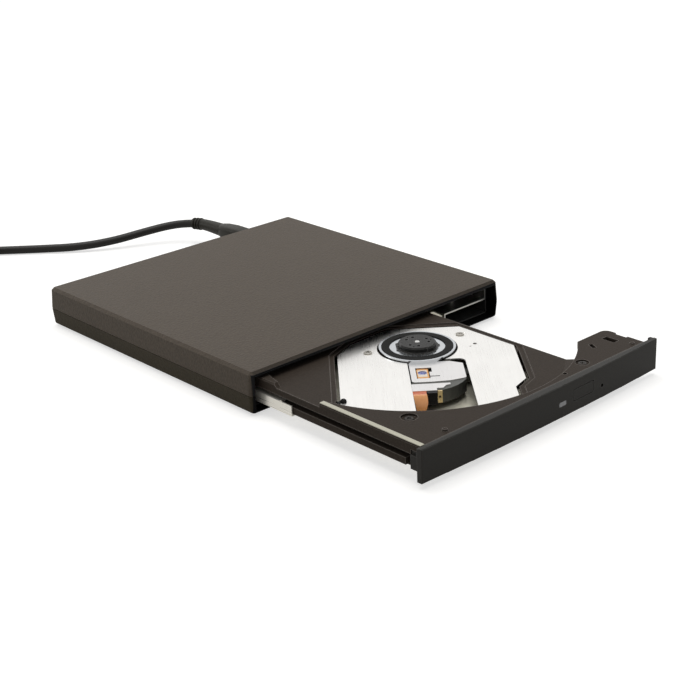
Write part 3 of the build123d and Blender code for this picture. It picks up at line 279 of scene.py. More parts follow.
@dataclass(frozen=True)
class CasePaintedShade:
    """Painted shade: the room inside the case's walls and its faces towards the front, where its plastic is
    painted black.
    """

    half_width: float = 0.0665
    back: float = 0.1105
    low: float = 0.00095
    high: float = 0.01645
    soft: float = 0.00005
    back_soft: float = 0.0001

    def mask(self, r: Recipe) -> Value:
        """Painted shade: 1 inside the room and on the mouth's rim and other faces towards the front, 0 on
        the case's other outer faces.
        """
        facing = r.axes(r.node("ShaderNodeNewGeometry").outputs["Normal"])[1]
        rim = facing.ramp(-0.6, -0.8)
        x, y, z = r.axes(r.place)
        across = (x - CASE_X).size()
        room = across.ramp(self.half_width + self.soft, self.half_width - self.soft)
        room = room * y.ramp(self.back + self.back_soft, self.back - self.back_soft)
        room = room * z.ramp(self.low - self.soft, self.low + self.soft)
        room = room * z.ramp(self.high + self.soft, self.high - self.soft)
        return rim.most(room)


@dataclass(frozen=True)
class MouldedPlastic:
    """Grained black or brown plastic, smoother along its edges, with a painted highlight there, and painted
    shade inside the case where asked.
    """

    name: str
    colour: Colour
    roughness: float
    grain: float = 0.0003
    depth: float = 0.00001
    edge_highlight: float = 0.2
    sheen: float = 0.12
    painted_shade_inside: bool = False
    edge_width: float = 0.0006
    spread: float = 0.22
    cloud: float = 55.0
    cloud_share: float = 0.22
    speck_share: float = 1.7

    def build(self) -> bpy.types.Material:
        """Makes the material."""
        r = Recipe(self.name)
        fine = r.cells(1.0 / self.grain)
        broad = r.noise(self.cloud, 3.0)
        speck = r.noise(0.95 / self.grain, 2.0)
        tone = (broad - 0.5) * self.cloud_share + (speck - 0.5) * self.speck_share + 0.5
        low = tuple(c * (1.0 - self.spread) for c in self.colour)
        high = tuple(c * (1.0 + self.spread) for c in self.colour)
        # Painted highlight: a paler colour along the edges, for light caught on them.
        pale = tuple(c * 2.4 + 0.09 for c in self.colour)
        colour = r.mix(low, high, tone)
        edge = r.edge(self.edge_width) * self.edge_highlight
        # Painted shade: black inside the case and on its front faces, with no painted edge highlight there;
        # bare is this painted shade mask.
        if self.painted_shade_inside:
            bare = CasePaintedShade().mask(r)
            colour = r.mix(colour, (0.0015, 0.0015, 0.0016), bare)
            edge = edge * (1.0 - bare)
        r.set(
            Base_Color=r.mix(colour, pale, edge),
            Roughness=(speck - 0.5) * 0.12 + self.roughness - edge * 0.4,
            Specular_IOR_Level=self.sheen,
        )
        r.relief(fine + speck * 0.4, self.depth)
        return r.material


@dataclass(frozen=True)
class BrushedSheet:
    """Sheet metal with fine lines along one direction."""

    name: str
    colour: Colour
    turn: float = 0.0
    roughness: float = 0.3
    line: float = 0.0004
    depth: float = 0.000006
    stain: float = 0.12
    metallic: float = 1.0
    run: float = 50.0

    def build(self) -> bpy.types.Material:
        """Makes the material."""
        r = Recipe(self.name)
        along = r.placed(self.turn, (1.0 / self.run, 1.0, 1.0))
        lines = r.noise(1.0 / self.line, 3.0, along, 0.7)
        cloud = r.noise(70.0, 3.0)
        dark = tuple(c * (1.0 - self.stain) for c in self.colour)
        tone = (lines - 0.5) * 0.9 + (cloud - 0.5) * 0.6 + 0.5
        r.set(
            Base_Color=r.mix(dark, self.colour, tone),
            Metallic=self.metallic,
            Roughness=(lines - 0.5) * 0.25 + (cloud - 0.5) * 0.1 + self.roughness,
        )
        r.relief(lines, self.depth)
        return r.material


@dataclass(frozen=True)
class PlainMetal:
    """Turned, drawn or plated metal with faint marks."""

    name: str
    colour: Colour
    roughness: float
    marks: float = 0.1
    scale: float = 900.0
    metallic: float = 1.0

    def build(self) -> bpy.types.Material:
        """Makes the material."""
        r = Recipe(self.name)
        fine = r.noise(self.scale, 3.0)
        cloud = r.noise(90.0, 2.0)
        dark = tuple(c * 0.8 for c in self.colour)
        r.set(
            Base_Color=r.mix(dark, self.colour, (fine - 0.5) * 0.5 + cloud * 0.5 + 0.35),
            Metallic=self.metallic,
            Roughness=(fine - 0.5) * self.marks + (cloud - 0.5) * self.marks + self.roughness,
        )
        r.relief(fine, 0.000003)
        return r.material


@dataclass(frozen=True)
class SoftRubber:
    """Matte rubber with dust in its pores."""

    name: str
    colour: Colour
    roughness: float = 0.72

    def build(self) -> bpy.types.Material:
        """Makes the material."""
        r = Recipe(self.name)
        pores = r.cells(3200.0)
        cloud = r.noise(140.0, 4.0)
        grey = tuple(c * 1.8 + 0.006 for c in self.colour)
        r.set(
            Base_Color=r.mix(self.colour, grey, cloud.ramp(0.45, 0.75)),
            Roughness=(cloud - 0.5) * 0.15 + self.roughness,
            Specular_IOR_Level=0.12,
        )
        r.relief(pores, 0.00001)
        return r.material


@dataclass(frozen=True)
class CircuitBoard:
    """Solder mask over copper tracks, with dark parts above one height and below another."""

    name: str
    parts_above: float
    parts_below: float = -1.0
    rim: float = 0.00002
    track_pitch: float = 0.0013
    track_length: float = 0.0042
    track_gap: float = 0.00018

    def build(self) -> bpy.types.Material:
        """Makes the material."""
        r = Recipe(self.name)
        grid = r.node(
            "ShaderNodeTexBrick",
            {"offset": 0.5, "squash": 0.6, "squash_frequency": 3},
            {
                "Vector": r.place,
                "Scale": 1.0,
                "Mortar Size": self.track_gap,
                "Brick Width": self.track_length,
                "Row Height": self.track_pitch,
            },
        )
        tracks = Value(r, grid.outputs["Fac"])
        pads = r.cells(330.0).ramp(0.16, 0.1)
        mask = r.mix((0.006, 0.052, 0.022), (0.02, 0.13, 0.06), tracks)
        face = r.mix(mask, (0.62, 0.5, 0.2), pads)
        height = r.axes(r.place)[2]
        chip = height.ramp(self.parts_above, self.parts_above + self.rim)
        chip = chip.most(height.ramp(self.parts_below, self.parts_below - self.rim))
        r.set(
            Base_Color=r.mix(face, (0.012, 0.012, 0.013), chip),
            Metallic=pads * (1.0 - chip) * 0.8,
            Roughness=chip * 0.2 + 0.32,
        )
        r.relief(tracks * 0.5 + pads, 0.00003)
        return r.material


@dataclass(frozen=True)
class FilmCable:
    """Orange polyimide film with copper tracks under it, darker above the fold: painted shade, partly the
    film's double layer there.
    """

    name: str
    pitch: float = 0.0005
    fold_shade_height: float = 0.0117
    fold_shade_fade: float = 0.00015

    def build(self) -> bpy.types.Material:
        """Makes the material."""
        r = Recipe(self.name)
        across = r.axes(r.placed(math.pi + TRAVEL_ANGLE))[1]
        track = across.wave(self.pitch).ramp(-0.1, 0.3)
        blush = r.noise(260.0, 2.0)
        # Painted shade: dark red on the top segment above the fold's height, partly the double layer of the
        # fold.
        fold_shade = r.axes(r.place)[2].ramp(self.fold_shade_height - self.fold_shade_fade, self.fold_shade_height)
        tone = r.mix((0.94, 0.36, 0.12), (1.0, 0.5, 0.2), track * 0.4 + blush * 0.6)
        tone = r.mix(tone, (0.55, 0.1, 0.012), fold_shade)
        r.set(Base_Color=tone, Roughness=(blush - 0.5) * 0.1 + 0.33, Metallic=track * 0.1, Coat_Weight=0.15)
        r.relief(track, 0.000012)
        return r.material


@dataclass(frozen=True)
class TintedGlass:
    """Coated lens or clear light pipe."""

    name: str
    colour: Colour
    clear: float
    roughness: float

    def build(self) -> bpy.types.Material:
        """Makes the material."""
        r = Recipe(self.name)
        haze = r.noise(1500.0, 2.0)
        deep = tuple(c * 0.6 for c in self.colour)
        r.set(
            Base_Color=r.mix(deep, self.colour, haze),
            Roughness=(haze - 0.5) * 0.05 + self.roughness,
            Transmission_Weight=self.clear,
            Coat_Weight=1.0,
            IOR=1.5,
        )
        return r.material


@dataclass(frozen=True)
class LensFrame:
    """Pale lens carrier with copper coils at its ends."""

    name: str
    lens: tuple[float, float] = (22.8, 0.0)
    off_centre: float = 0.0006
    coil_from: float = 0.003
    side_from: float = 0.0017
    fade: float = 0.0001

    def build(self) -> bpy.types.Material:
        """Makes the material."""
        r = Recipe(self.name)
        x, y = travel_point(*self.lens)
        along, across, _ = r.axes(r.placed(math.pi + TRAVEL_ANGLE, centre=(x, y, 0.0)))
        fine = r.noise(2200.0, 2.0)
        ends = (along - self.off_centre).size().ramp(self.coil_from - self.fade, self.coil_from + self.fade)
        ends = ends.most(across.size().ramp(self.side_from - self.fade / 2, self.side_from + self.fade))
        copper = r.mix((0.5, 0.17, 0.04), (0.85, 0.48, 0.16), fine)
        r.set(
            Base_Color=r.mix((0.82, 0.74, 0.62), copper, ends),
            Metallic=ends * 0.6,
            Roughness=fine * 0.2 + 0.25,
        )
        r.relief(fine, 0.00001)
        return r.material


@dataclass(frozen=True)
class WovenStrap:
    """Black hook-and-loop strap."""

    name: str
    thread: float = 0.0006

    def build(self) -> bpy.types.Material:
        """Makes the material."""
        r = Recipe(self.name)
        x, y, z = r.axes(r.place)
        weave = x.wave(self.thread) * (y + z).wave(self.thread)
        fuzz = r.noise(4200.0, 3.0)
        r.set(
            Base_Color=r.mix((0.012, 0.012, 0.013), (0.05, 0.05, 0.052), weave * 0.3 + fuzz * 0.7),
            Roughness=0.9,
            Sheen_Weight=0.4,
        )
        r.relief(weave + fuzz, 0.00012)
        return r.material


class Finish(Enum):
    """Every finish of the drive."""

    CASE = MouldedPlastic(
        "grained case", (0.0745, 0.0595, 0.045), 0.5,
        grain=0.0009, depth=0.0001, edge_highlight=0.16, painted_shade_inside=True,
    )
    LOWER_CASE = MouldedPlastic(
        "grained lower case", (0.0435, 0.0355, 0.023), 0.52,
        grain=0.0009, depth=0.00008, edge_highlight=0.1, sheen=0.06, painted_shade_inside=True,
    )
    TRAY = MouldedPlastic(
        "tray moulding", (0.043, 0.034, 0.027), 0.45, grain=0.0006, depth=0.00003, edge_highlight=0.95, sheen=0.035
    )
    BEZEL = MouldedPlastic(
        "bezel moulding", (0.0225, 0.021, 0.018), 0.42, depth=0.000018, edge_highlight=0.45, sheen=0.13
    )
    HUB = MouldedPlastic(
        "hub moulding", (0.019, 0.0182, 0.0168), 0.28, grain=0.0002, depth=0.000008, edge_highlight=1.0
    )
    PLUG = MouldedPlastic("plug moulding", (0.02, 0.018, 0.013), 0.42, sheen=0.14)
    CORD = MouldedPlastic(
        "lead sheath", (0.0075, 0.0065, 0.0045), 0.36, grain=0.0004, depth=0.000008, edge_highlight=0.0, sheen=0.25
    )
    BLACK_PART = MouldedPlastic("black connector", (0.008, 0.008, 0.008), 0.4, edge_highlight=0.4, sheen=0.15)
    PICKUP = PlainMetal(
        "dark pickup casting", (0.11, 0.112, 0.103), 0.48, marks=0.25, scale=1400.0, metallic=0.7
    )
    RUBBER = SoftRubber("soft rubber", (0.007, 0.007, 0.0065))
    FEET = SoftRubber("foot rubber", (0.012, 0.012, 0.012), 0.8)
    DECK = BrushedSheet(
        "brushed deck", (0.87, 0.855, 0.825), TRAVEL_ANGLE, line=0.0003, depth=0.000008, stain=0.08
    )
    PICKUP_COVER = BrushedSheet(
        "pickup cover sheet", (0.74, 0.725, 0.715), TRAVEL_ANGLE, 0.32,
        line=0.0002, depth=0.000005, stain=0.08,
    )
    # Pale strip on the tray's left ledge: partly the strip's own colour, partly a painted highlight on the
    # ledge.
    EDGE_STRIP = BrushedSheet(
        "pale edge strip", (0.5, 0.48, 0.385), ALONG_Y, 0.5,
        line=0.0005, depth=0.000004, stain=0.1, metallic=0.2,
    )
    ZINC = BrushedSheet("zinc-plated sheet", (0.5, 0.495, 0.46), roughness=0.34, stain=0.25)
    DARK_SHEET = BrushedSheet("blackened sheet", (0.03, 0.03, 0.03), roughness=0.5, stain=0.25, metallic=0.3)
    BOTTOM_COVER = BrushedSheet(
        "tray cover sheet", (0.95, 0.91, 0.75), ALONG_Y, 0.38, line=0.0005, stain=0.2, metallic=0.45
    )
    RAIL = BrushedSheet(
        "drawn rail", (0.9, 0.87, 0.79), ALONG_Y, line=0.0006, depth=0.000001, stain=0.1, metallic=0.6
    )
    POLISHED = PlainMetal("polished steel", (0.72, 0.71, 0.69), 0.12)
    TURNTABLE = PlainMetal("turned aluminium", (0.62, 0.64, 0.66), 0.22, marks=0.12, scale=2400.0)
    MOTOR = PlainMetal("motor can", (0.4, 0.4, 0.38), 0.35)
    SCREW = PlainMetal("screw steel", (0.42, 0.4, 0.36), 0.3, marks=0.15, scale=1800.0)
    BLACK_SCREW = PlainMetal("blackened screw", (0.035, 0.03, 0.026), 0.38, marks=0.15, scale=1800.0)
    PLATED = PlainMetal("plated shell", (0.7, 0.69, 0.66), 0.18)
    GILT = PlainMetal("gilt bronze", (0.86, 0.66, 0.33), 0.3, marks=0.2, scale=1500.0, metallic=0.5)
    DRIVE_BOARD = CircuitBoard("drive board", 0.00436)
    TRAY_BOARD = CircuitBoard("tray board", 0.00601)
    BRIDGE_BOARD = CircuitBoard("bridge board", 0.00791, 0.0068)
    FRONT_BOARD = CircuitBoard("front board", 1.0)
    FILM = FilmCable("orange film cable")
    LENS = TintedGlass("coated lens", (0.02, 0.05, 0.4), 0.0, 0.03)
    LENS_FRAME = LensFrame("lens frame")
    LIGHT_PIPE = TintedGlass("light pipe", (0.26, 0.27, 0.29), 0.2, 0.25)
    STRAP = WovenStrap("strap weave")

    def material(self) -> bpy.types.Material:
        """The finish's material, made once."""
        found = bpy.data.materials.get(self.value.name)
        return found or self.value.build()


NODE_FINISHES: dict[Finish, tuple[str, ...]] = {
    Finish.CASE: ("top_shell",),
    Finish.LOWER_CASE: ("bottom_shell",),
    Finish.FEET: ("rubber_feet",),
    Finish.ZINC: ("board_cover",),
    Finish.DARK_SHEET: ("drive_base_pan", "drive_top_cover", "left_rail_guide"),
    Finish.EDGE_STRIP: ("edge_strip",),
    Finish.BOTTOM_COVER: ("tray_bottom_cover", "right_rail_guide"),
    Finish.RAIL: ("left_rail", "right_rail"),
    Finish.TRAY: ("tray", "traverse_frame", "latch_lever"),
    Finish.BEZEL: ("bezel", "eject_button"),
    Finish.LIGHT_PIPE: ("led_lens",),
    Finish.DECK: ("deck_plate",),
    Finish.TURNTABLE: ("turntable",),
    Finish.RUBBER: ("rubber_ring", "rubber_dampers", "damper_cap"),
    Finish.HUB: ("disc_hub", "hub_claw_1", "hub_claw_2", "hub_claw_3"),
    Finish.POLISHED: ("guide_rods", "lead_screw", "spindle_shaft", "latch_post"),
    Finish.MOTOR: ("spindle_motor", "stepper_motor", "latch_solenoid"),
    Finish.PICKUP: ("pickup_base",),
    Finish.PICKUP_COVER: ("pickup_cover",),
    Finish.GILT: ("pickup_clip",),
    Finish.LENS_FRAME: ("lens_holder",),
    Finish.LENS: ("objective_lens",),
    Finish.BLACK_PART: ("drive_connector", "pickup_connector", "eject_switch"),
    Finish.PLATED: ("usb_socket", "small_plug_tip", "big_plug_shell"),
    Finish.DRIVE_BOARD: ("drive_board",),
    Finish.TRAY_BOARD: ("tray_board",),
    Finish.BRIDGE_BOARD: ("bridge_board",),
    Finish.FRONT_BOARD: ("front_board",),
    Finish.PLUG: ("big_plug_grip",),
}


# Mesh helpers


def linked(name: str, data: bpy.types.ID) -> bpy.types.Object:
    """Makes an object of this data and links it to the scene."""
    made = bpy.data.objects.new(name, data)
    bpy.context.scene.collection.objects.link(made)
    return made


def thicken(sheet: bpy.types.Object, thick: float) -> None:
    """Gives a sheet its thickness, half to each side."""
    wall = sheet.modifiers.new("thickness", "SOLIDIFY")
    wall.thickness = thick
    wall.offset = 0.0


def shade_smooth(mesh: bpy.types.Mesh, below: float) -> None:
    """Shades a mesh smooth, with a crease at every edge that turns by more than these degrees."""
    mesh.polygons.foreach_set("use_smooth", [True] * len(mesh.polygons))
    mesh.set_sharp_from_angle(angle=math.radians(below))


def mesh_from(name: str, bm: bmesh.types.BMesh) -> bpy.types.Mesh:
    """Closes a bmesh into a mesh with its faces outwards."""
    bmesh.ops.remove_doubles(bm, verts=bm.verts, dist=1e-7)
    bmesh.ops.recalc_face_normals(bm, faces=bm.faces)
    mesh = bpy.data.meshes.new(name)
    bm.to_mesh(mesh)
    bm.free()
    return mesh


def finished(
    bm: bmesh.types.BMesh, name: str, finish: Finish, smooth_below: float = 40.0
) -> bpy.types.Object:
    """Turns a bmesh into a linked object with its finish.

    Args:
        bm: The faces, in the frame of the solids.
        name: The piece's name.
        finish: Its finish.
        smooth_below: Edges that turn by less than this many degrees are shaded smooth.

    Returns:
        The linked object.
    """
    mesh = mesh_from(name, bm)
    mesh.materials.append(finish.material())
    shade_smooth(mesh, smooth_below)
    return linked(name, mesh)


def circle(count: int) -> list[tuple[float, float]]:
    """Points of a circle of radius 1 about the origin, counter-clockwise."""
    turns = [FULL_TURN * i / count for i in range(count)]
    return [(math.cos(a), math.sin(a)) for a in turns]


def rounded_ring(width: float, height: float, corner: float, steps: int = 6) -> list[tuple[float, float]]:
    """Points of a rounded rectangle about the origin, counter-clockwise."""
    points = []
    corner = min(corner, width / 2 - 1e-6, height / 2 - 1e-6)
    for quarter, (sx, sy) in enumerate(((1, 1), (-1, 1), (-1, -1), (1, -1))):
        for i in range(steps + 1):
            a = math.pi / 2 * (quarter + i / steps)
            x = sx * (width / 2 - corner) + corner * math.cos(a)
            y = sy * (height / 2 - corner) + corner * math.sin(a)
            points.append((x, y))
    return points


def stitch(bm: bmesh.types.BMesh, rows: list[list[bmesh.types.BMVert]], closed: bool = True) -> None:
    """Joins rows of vertices with faces; closed rows go all the way round."""
    count = len(rows[0])
    for near, far in zip(rows, rows[1:]):
        for i in range(count if closed else count - 1):
            j = (i + 1) % count
            bm.faces.new((near[i], near[j], far[j], far[i]))


def loft(rings: list[list[Point]]) -> bmesh.types.BMesh:
    """Skins closed rings of equal length and caps both ends."""
    bm = bmesh.new()
    rows = [[bm.verts.new(p) for p in ring] for ring in rings]
    stitch(bm, rows)
    bm.faces.new(rows[0])
    bm.faces.new(rows[-1])
    return bm


class NodeTree:
    """A Geometry Nodes tree with named inputs."""

    def __init__(self, name: str, numbers: dict[str, float]) -> None:
        """Starts a tree that takes and gives geometry, with number inputs."""
        self.tree = bpy.data.node_groups.new(name, "GeometryNodeTree")
        face = self.tree.interface
        face.new_socket("Geometry", in_out="INPUT", socket_type="NodeSocketGeometry")
        for key, value in numbers.items():
            made = face.new_socket(key, in_out="INPUT", socket_type="NodeSocketFloat")
            made.default_value = value
        face.new_socket("Geometry", in_out="OUTPUT", socket_type="NodeSocketGeometry")
        self.start = self.add("NodeGroupInput")
        self.end = self.add("NodeGroupOutput")

    def add(
        self,
        kind: str,
        settings: dict[str, object] | None = None,
        inputs: dict[int | str, object] | None = None,
    ) -> bpy.types.Node:
        """Adds a node with its settings, values and links."""
        made = self.tree.nodes.new(kind)
        for key, value in (settings or {}).items():
            setattr(made, key, value)
        for key, value in (inputs or {}).items():
            if isinstance(value, bpy.types.NodeSocket):
                self.tree.links.new(value, made.inputs[key])
            else:
                made.inputs[key].default_value = value
        return made

    def close(self, geometry: bpy.types.NodeSocket, finish: Finish) -> None:
        """Realizes the instances, sets the finish and ends the tree."""
        real = self.add("GeometryNodeRealizeInstances", inputs={0: geometry})
        dressed = self.add(
            "GeometryNodeSetMaterial", inputs={"Geometry": real.outputs[0], "Material": finish.material()}
        )
        self.tree.links.new(dressed.outputs[0], self.end.inputs[0])

    def apply(self, carrier: bpy.types.Mesh, name: str) -> bpy.types.Object:
        """Runs the tree on a mesh and returns its result as a plain mesh object.

        Args:
            carrier: The mesh whose points the tree works on.
            name: The piece's name.

        Returns:
            The linked object with a plain mesh.
        """
        made = linked(name, carrier)
        made.modifiers.new("shape", "NODES").node_group = self.tree
        bpy.context.view_layer.update()
        graph = bpy.context.evaluated_depsgraph_get()
        result = bpy.data.meshes.new_from_object(made.evaluated_get(graph))
        made.modifiers.clear()
        made.data = result
        return made


# The camera, the light and the floor


@dataclass
class PhotoCamera:
    """The photograph's view: a long lens at the drive's front left."""

    target: Point = (0.035306, 0.011164, 0.0)
    distance: float = 0.61577
    azimuth: float = -43.276
    elevation: float = 21.515
    roll: float = -1.762
    focal_px: float = 1431.06
    centre_px: tuple[float, float] = (384.0, 317.1)
    frame_px: float = 700.0

    def build(self) -> None:
        """Adds the camera and makes it the scene's."""
        az = math.radians(self.azimuth)
        el = math.radians(self.elevation)
        roll = math.radians(self.roll)
        back = Vector((math.sin(az) * math.cos(el), -math.cos(az) * math.cos(el), math.sin(el)))
        flat = Vector((math.cos(az), math.sin(az), 0.0))
        up = back.cross(flat)
        right = flat * math.cos(roll) + up * math.sin(roll)
        top = up * math.cos(roll) - flat * math.sin(roll)
        data = bpy.data.cameras.new("photo_camera")
        data.sensor_fit = "HORIZONTAL"
        data.sensor_width = 36.0
        data.lens = self.focal_px / self.frame_px * data.sensor_width
        data.shift_x = (self.frame_px / 2 - self.centre_px[0]) / self.frame_px
        data.shift_y = (self.centre_px[1] - self.frame_px / 2) / self.frame_px
        data.clip_start = 0.01
        camera = linked("photo_camera", data)
        turn = Matrix((right, top, back)).transposed().to_4x4()
        camera.matrix_world = Matrix.Translation(Vector(self.target) + back * self.distance) @ turn
        bpy.context.scene.camera = camera
        log.info("camera lens %.1f mm", data.lens)


@dataclass(frozen=True)
class Softbox:
    """A square lamp that looks at a point."""

    name: str
    place: Point
    size: float
    power: float
    aim: Point = (0.0, 0.0, 0.0)

    def build(self) -> None:
        """Adds the lamp."""
        data = bpy.data.lights.new(self.name, "AREA")
        data.shape = "SQUARE"
        data.size = self.size
        data.energy = self.power
        lamp = linked(self.name, data)
        lamp.location = self.place
        lamp.rotation_euler = (Vector(self.aim) - Vector(self.place)).to_track_quat("-Z", "Y").to_euler()


@dataclass
class Studio:
    """White floor, overhead softbox, two weaker ones and white surroundings."""

    ambient: float = 0.25
    floor_size: float = 6.0
    floor_drop: float = 0.00005
    floor_seen: float = 0.62
    floor_mirrored: float = 0.35
    lamps: tuple[Softbox, ...] = (
        Softbox("top_softbox", (0.1, 0.15, 1.3), size=1.1, power=11.5),
        Softbox("left_softbox", (-0.75, 0.85, 0.4), size=0.5, power=2.0, aim=(-0.05, 0.08, 0.0)),
        Softbox("rear_softbox", (0.2, 1.4, 1.0), size=0.9, power=2.0),
    )

    def build(self) -> None:
        """Adds the floor, the world and the lamps."""
        self._world()
        self._floor()
        for lamp in self.lamps:
            lamp.build()

    def _world(self) -> None:
        """White towards the camera and in reflections, softer as light."""
        world = bpy.data.worlds.new("studio_air")
        world.use_nodes = True
        bpy.context.scene.world = world
        nodes = world.node_tree.nodes
        links = world.node_tree.links
        nodes.clear()
        path = nodes.new("ShaderNodeLightPath")
        seen = path.outputs["Is Camera Ray"]
        for ray in ("Is Transmission Ray", "Is Glossy Ray"):
            either = nodes.new("ShaderNodeMath")
            either.operation = "MAXIMUM"
            links.new(seen, either.inputs[0])
            links.new(path.outputs[ray], either.inputs[1])
            seen = either.outputs[0]
        strength = nodes.new("ShaderNodeMapRange")
        strength.inputs["To Min"].default_value = self.ambient
        strength.inputs["To Max"].default_value = 1.0
        links.new(seen, strength.inputs["Value"])
        air = nodes.new("ShaderNodeBackground")
        air.inputs["Color"].default_value = (1.0, 1.0, 1.0, 1.0)
        links.new(strength.outputs[0], air.inputs["Strength"])
        out = nodes.new("ShaderNodeOutputWorld")
        links.new(air.outputs[0], out.inputs[0])

    def _floor(self) -> None:
        """A white floor that keeps the shadow and reads white in the picture."""
        r = Recipe("white sweep")
        r.set(Base_Color=(0.6, 0.59, 0.57), Roughness=0.85, Specular_IOR_Level=0.1)
        path = r.node("ShaderNodeLightPath")
        seen = Value(r, path.outputs["Is Camera Ray"]) * self.floor_seen
        seen = seen.most(Value(r, path.outputs["Is Glossy Ray"]) * self.floor_mirrored)
        r.set(Emission_Color=(1.0, 1.0, 1.0), Emission_Strength=seen)
        half = self.floor_size / 2
        corners = [(-half, -half, 0), (half, -half, 0), (half, half, 0), (-half, half, 0)]
        mesh = bpy.data.meshes.new("floor")
        mesh.from_pydata(corners, [], [(0, 1, 2, 3)])
        mesh.materials.append(r.material)
        floor = linked("floor", mesh)
        floor.location.z = -self.floor_drop


# The lead


@dataclass
class Lead:
    """The lead, its plugs and the tie round its spare length."""

    radius: float = 0.002
    centre: tuple[float, float] = (-0.079, 0.2119)
    outer: float = 0.027
    pitch: float = 0.0052
    half_turns: int = 4
    low: float = 0.0029
    points_each: int = 8
    tail_run: float = 0.007
    plug_axis: tuple[float, float] = (0.0456, 0.010)
    length: float = 0.883
    plug_end_height: float = 0.0041
    sleeve_start: float = 0.1356
    sleeve: float = 0.0212
    sleeve_radius: float = 0.00325
    sleeve_taper: float = 0.00075
    rib_length: float = 0.0054
    rib_count: int = 3
    rib_groove: float = 0.00035
    rib_height: float = 0.00075
    rib_flatness: float = 1.6
    end_collar: float = 0.0002
    tie_thick: float = 0.0007
    tie_corner: float = 0.42
    route: tuple[Point, ...] = (
        (0.0456, 0.1419, 0.0100), (0.0456, 0.1503, 0.0100), (0.0426, 0.1581, 0.0096),
        (0.0362, 0.1657, 0.0086), (0.0246, 0.1719, 0.0066), (0.0096, 0.1785, 0.0040),
        (-0.0048, 0.1877, 0.0025), (-0.0178, 0.2003, 0.0020), (-0.0314, 0.2125, 0.0020),
        (-0.0476, 0.2265, 0.0022), (-0.0586, 0.2345, 0.0029), (-0.0700, 0.2389, 0.0029),
    )

    def crossings(self) -> list[tuple[float, float]]:
        """Signed radius and height of the coil at each half turn."""
        radii = [self.outer - self.pitch / 2 * i for i in range(self.half_turns + 1)]
        marks = [(r, self.low) for r in radii]
        marks += [(r, self.low + self.pitch) for r in reversed(radii)]
        marks.append((self.outer + self.pitch / 2, self.low + self.pitch))
        return [(r * (-1) ** i, z) for i, (r, z) in enumerate(marks)]

    def coil(self) -> list[Point]:
        """Control points of the coil's half turns, a little outside their arcs."""
        points: list[Point] = []
        step = math.pi / self.points_each
        swell = 1.0 / math.cos(step / 2)
        marks = self.crossings()
        for (r0, z0), (r1, z1) in zip(marks, marks[1:]):
            middle = self.centre[1] + (r0 + r1) / 2
            half = abs(r0 - r1) / 2 * swell
            start = math.pi / 2 if r0 > r1 else -math.pi / 2
            for i in range(self.points_each):
                turn = step * (i + 0.5)
                x = self.centre[0] + half * math.cos(start + turn)
                y = middle + half * math.sin(start + turn)
                points.append((x, y, (z0 + z1) / 2 - (z1 - z0) / 2 * math.cos(turn)))
        return points

    def tail(self) -> list[Point]:
        """The short end from the coil's upper layer to the large plug."""
        signed, high = self.crossings()[-1]
        x = self.centre[0]
        y = self.centre[1] + signed
        run = self.tail_run
        low = self.plug_end_height
        return [(x, y, high), (x - run, y, high), (x - 3 * run, y, low), (x - 3.9 * run, y, low)]

    def build(self) -> None:
        """Adds the lead with its plugs and tie."""
        points = [*self.route, *self.coil(), *self.tail()]
        data = bpy.data.curves.new("lead", "CURVE")
        data.dimensions = "3D"
        data.bevel_depth = self.radius
        data.bevel_resolution = 6
        data.resolution_u = 6
        data.use_fill_caps = True
        line = data.splines.new("NURBS")
        line.points.add(len(points) - 1)
        for target, p in zip(line.points, points):
            target.co = (*p, 1.0)
        line.order_u = 3
        line.use_endpoint_u = True
        data.materials.append(Finish.CORD.material())
        lead = linked("lead", data)
        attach(lead, "case")
        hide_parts("cord_lead", "cord_coil", "cord_tail")
        pieces = [self.boot(), self.relief(lead), self.strap()]
        pieces += [bpy.data.objects[name] for name in ("big_plug_grip", "big_plug_shell")]
        log.info("lead with %d points", len(points))

    def boot(self) -> bpy.types.Object:
        """The small plug's grip: a collar, a waist, a raised panel and a rounded end."""
        x, z = self.plug_axis
        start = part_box("small_plug")[0][1]
        sections = (
            (0.0, 7.9, 7.4, 1.6),
            (0.7, 8.5, 8.0, 1.8),
            (3.4, 8.5, 8.1, 1.8),
            (4.2, 7.6, 7.4, 1.9),
            (5.0, 7.7, 7.5, 1.9),
            (6.4, 8.3, 7.9, 1.8),
            (15.0, 8.4, 7.9, 2.0),
            (20.5, 7.6, 7.5, 2.4),
            (23.4, 6.4, 6.8, 2.8),
            (24.5, 5.4, 6.0, 2.7),
        )
        rings = []
        # Millimetres: distance from the start, width, height, corner radius
        for back, width, height, corner in sections:
            ring = rounded_ring(mm(width), mm(height), mm(corner))
            rings.append([(x + a, start + mm(back), z + b) for a, b in ring])
        made = finished(loft(rings), "plug_boot", Finish.PLUG, 50.0)
        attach(made, "case")
        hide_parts("small_plug")
        return made

    def path(self, lead: bpy.types.Object) -> list[Vector]:
        """The lead's own line, read from its spline with no bevel."""
        bare = lead.copy()
        bare.data = lead.data.copy()
        bare.data.bevel_depth = 0.0
        bpy.context.scene.collection.objects.link(bare)
        bpy.context.view_layer.update()
        graph = bpy.context.evaluated_depsgraph_get()
        mesh = bpy.data.meshes.new_from_object(bare.evaluated_get(graph))
        line = [v.co.copy() for v in mesh.vertices]
        bpy.data.objects.remove(bare)
        bpy.data.meshes.remove(mesh)
        return line

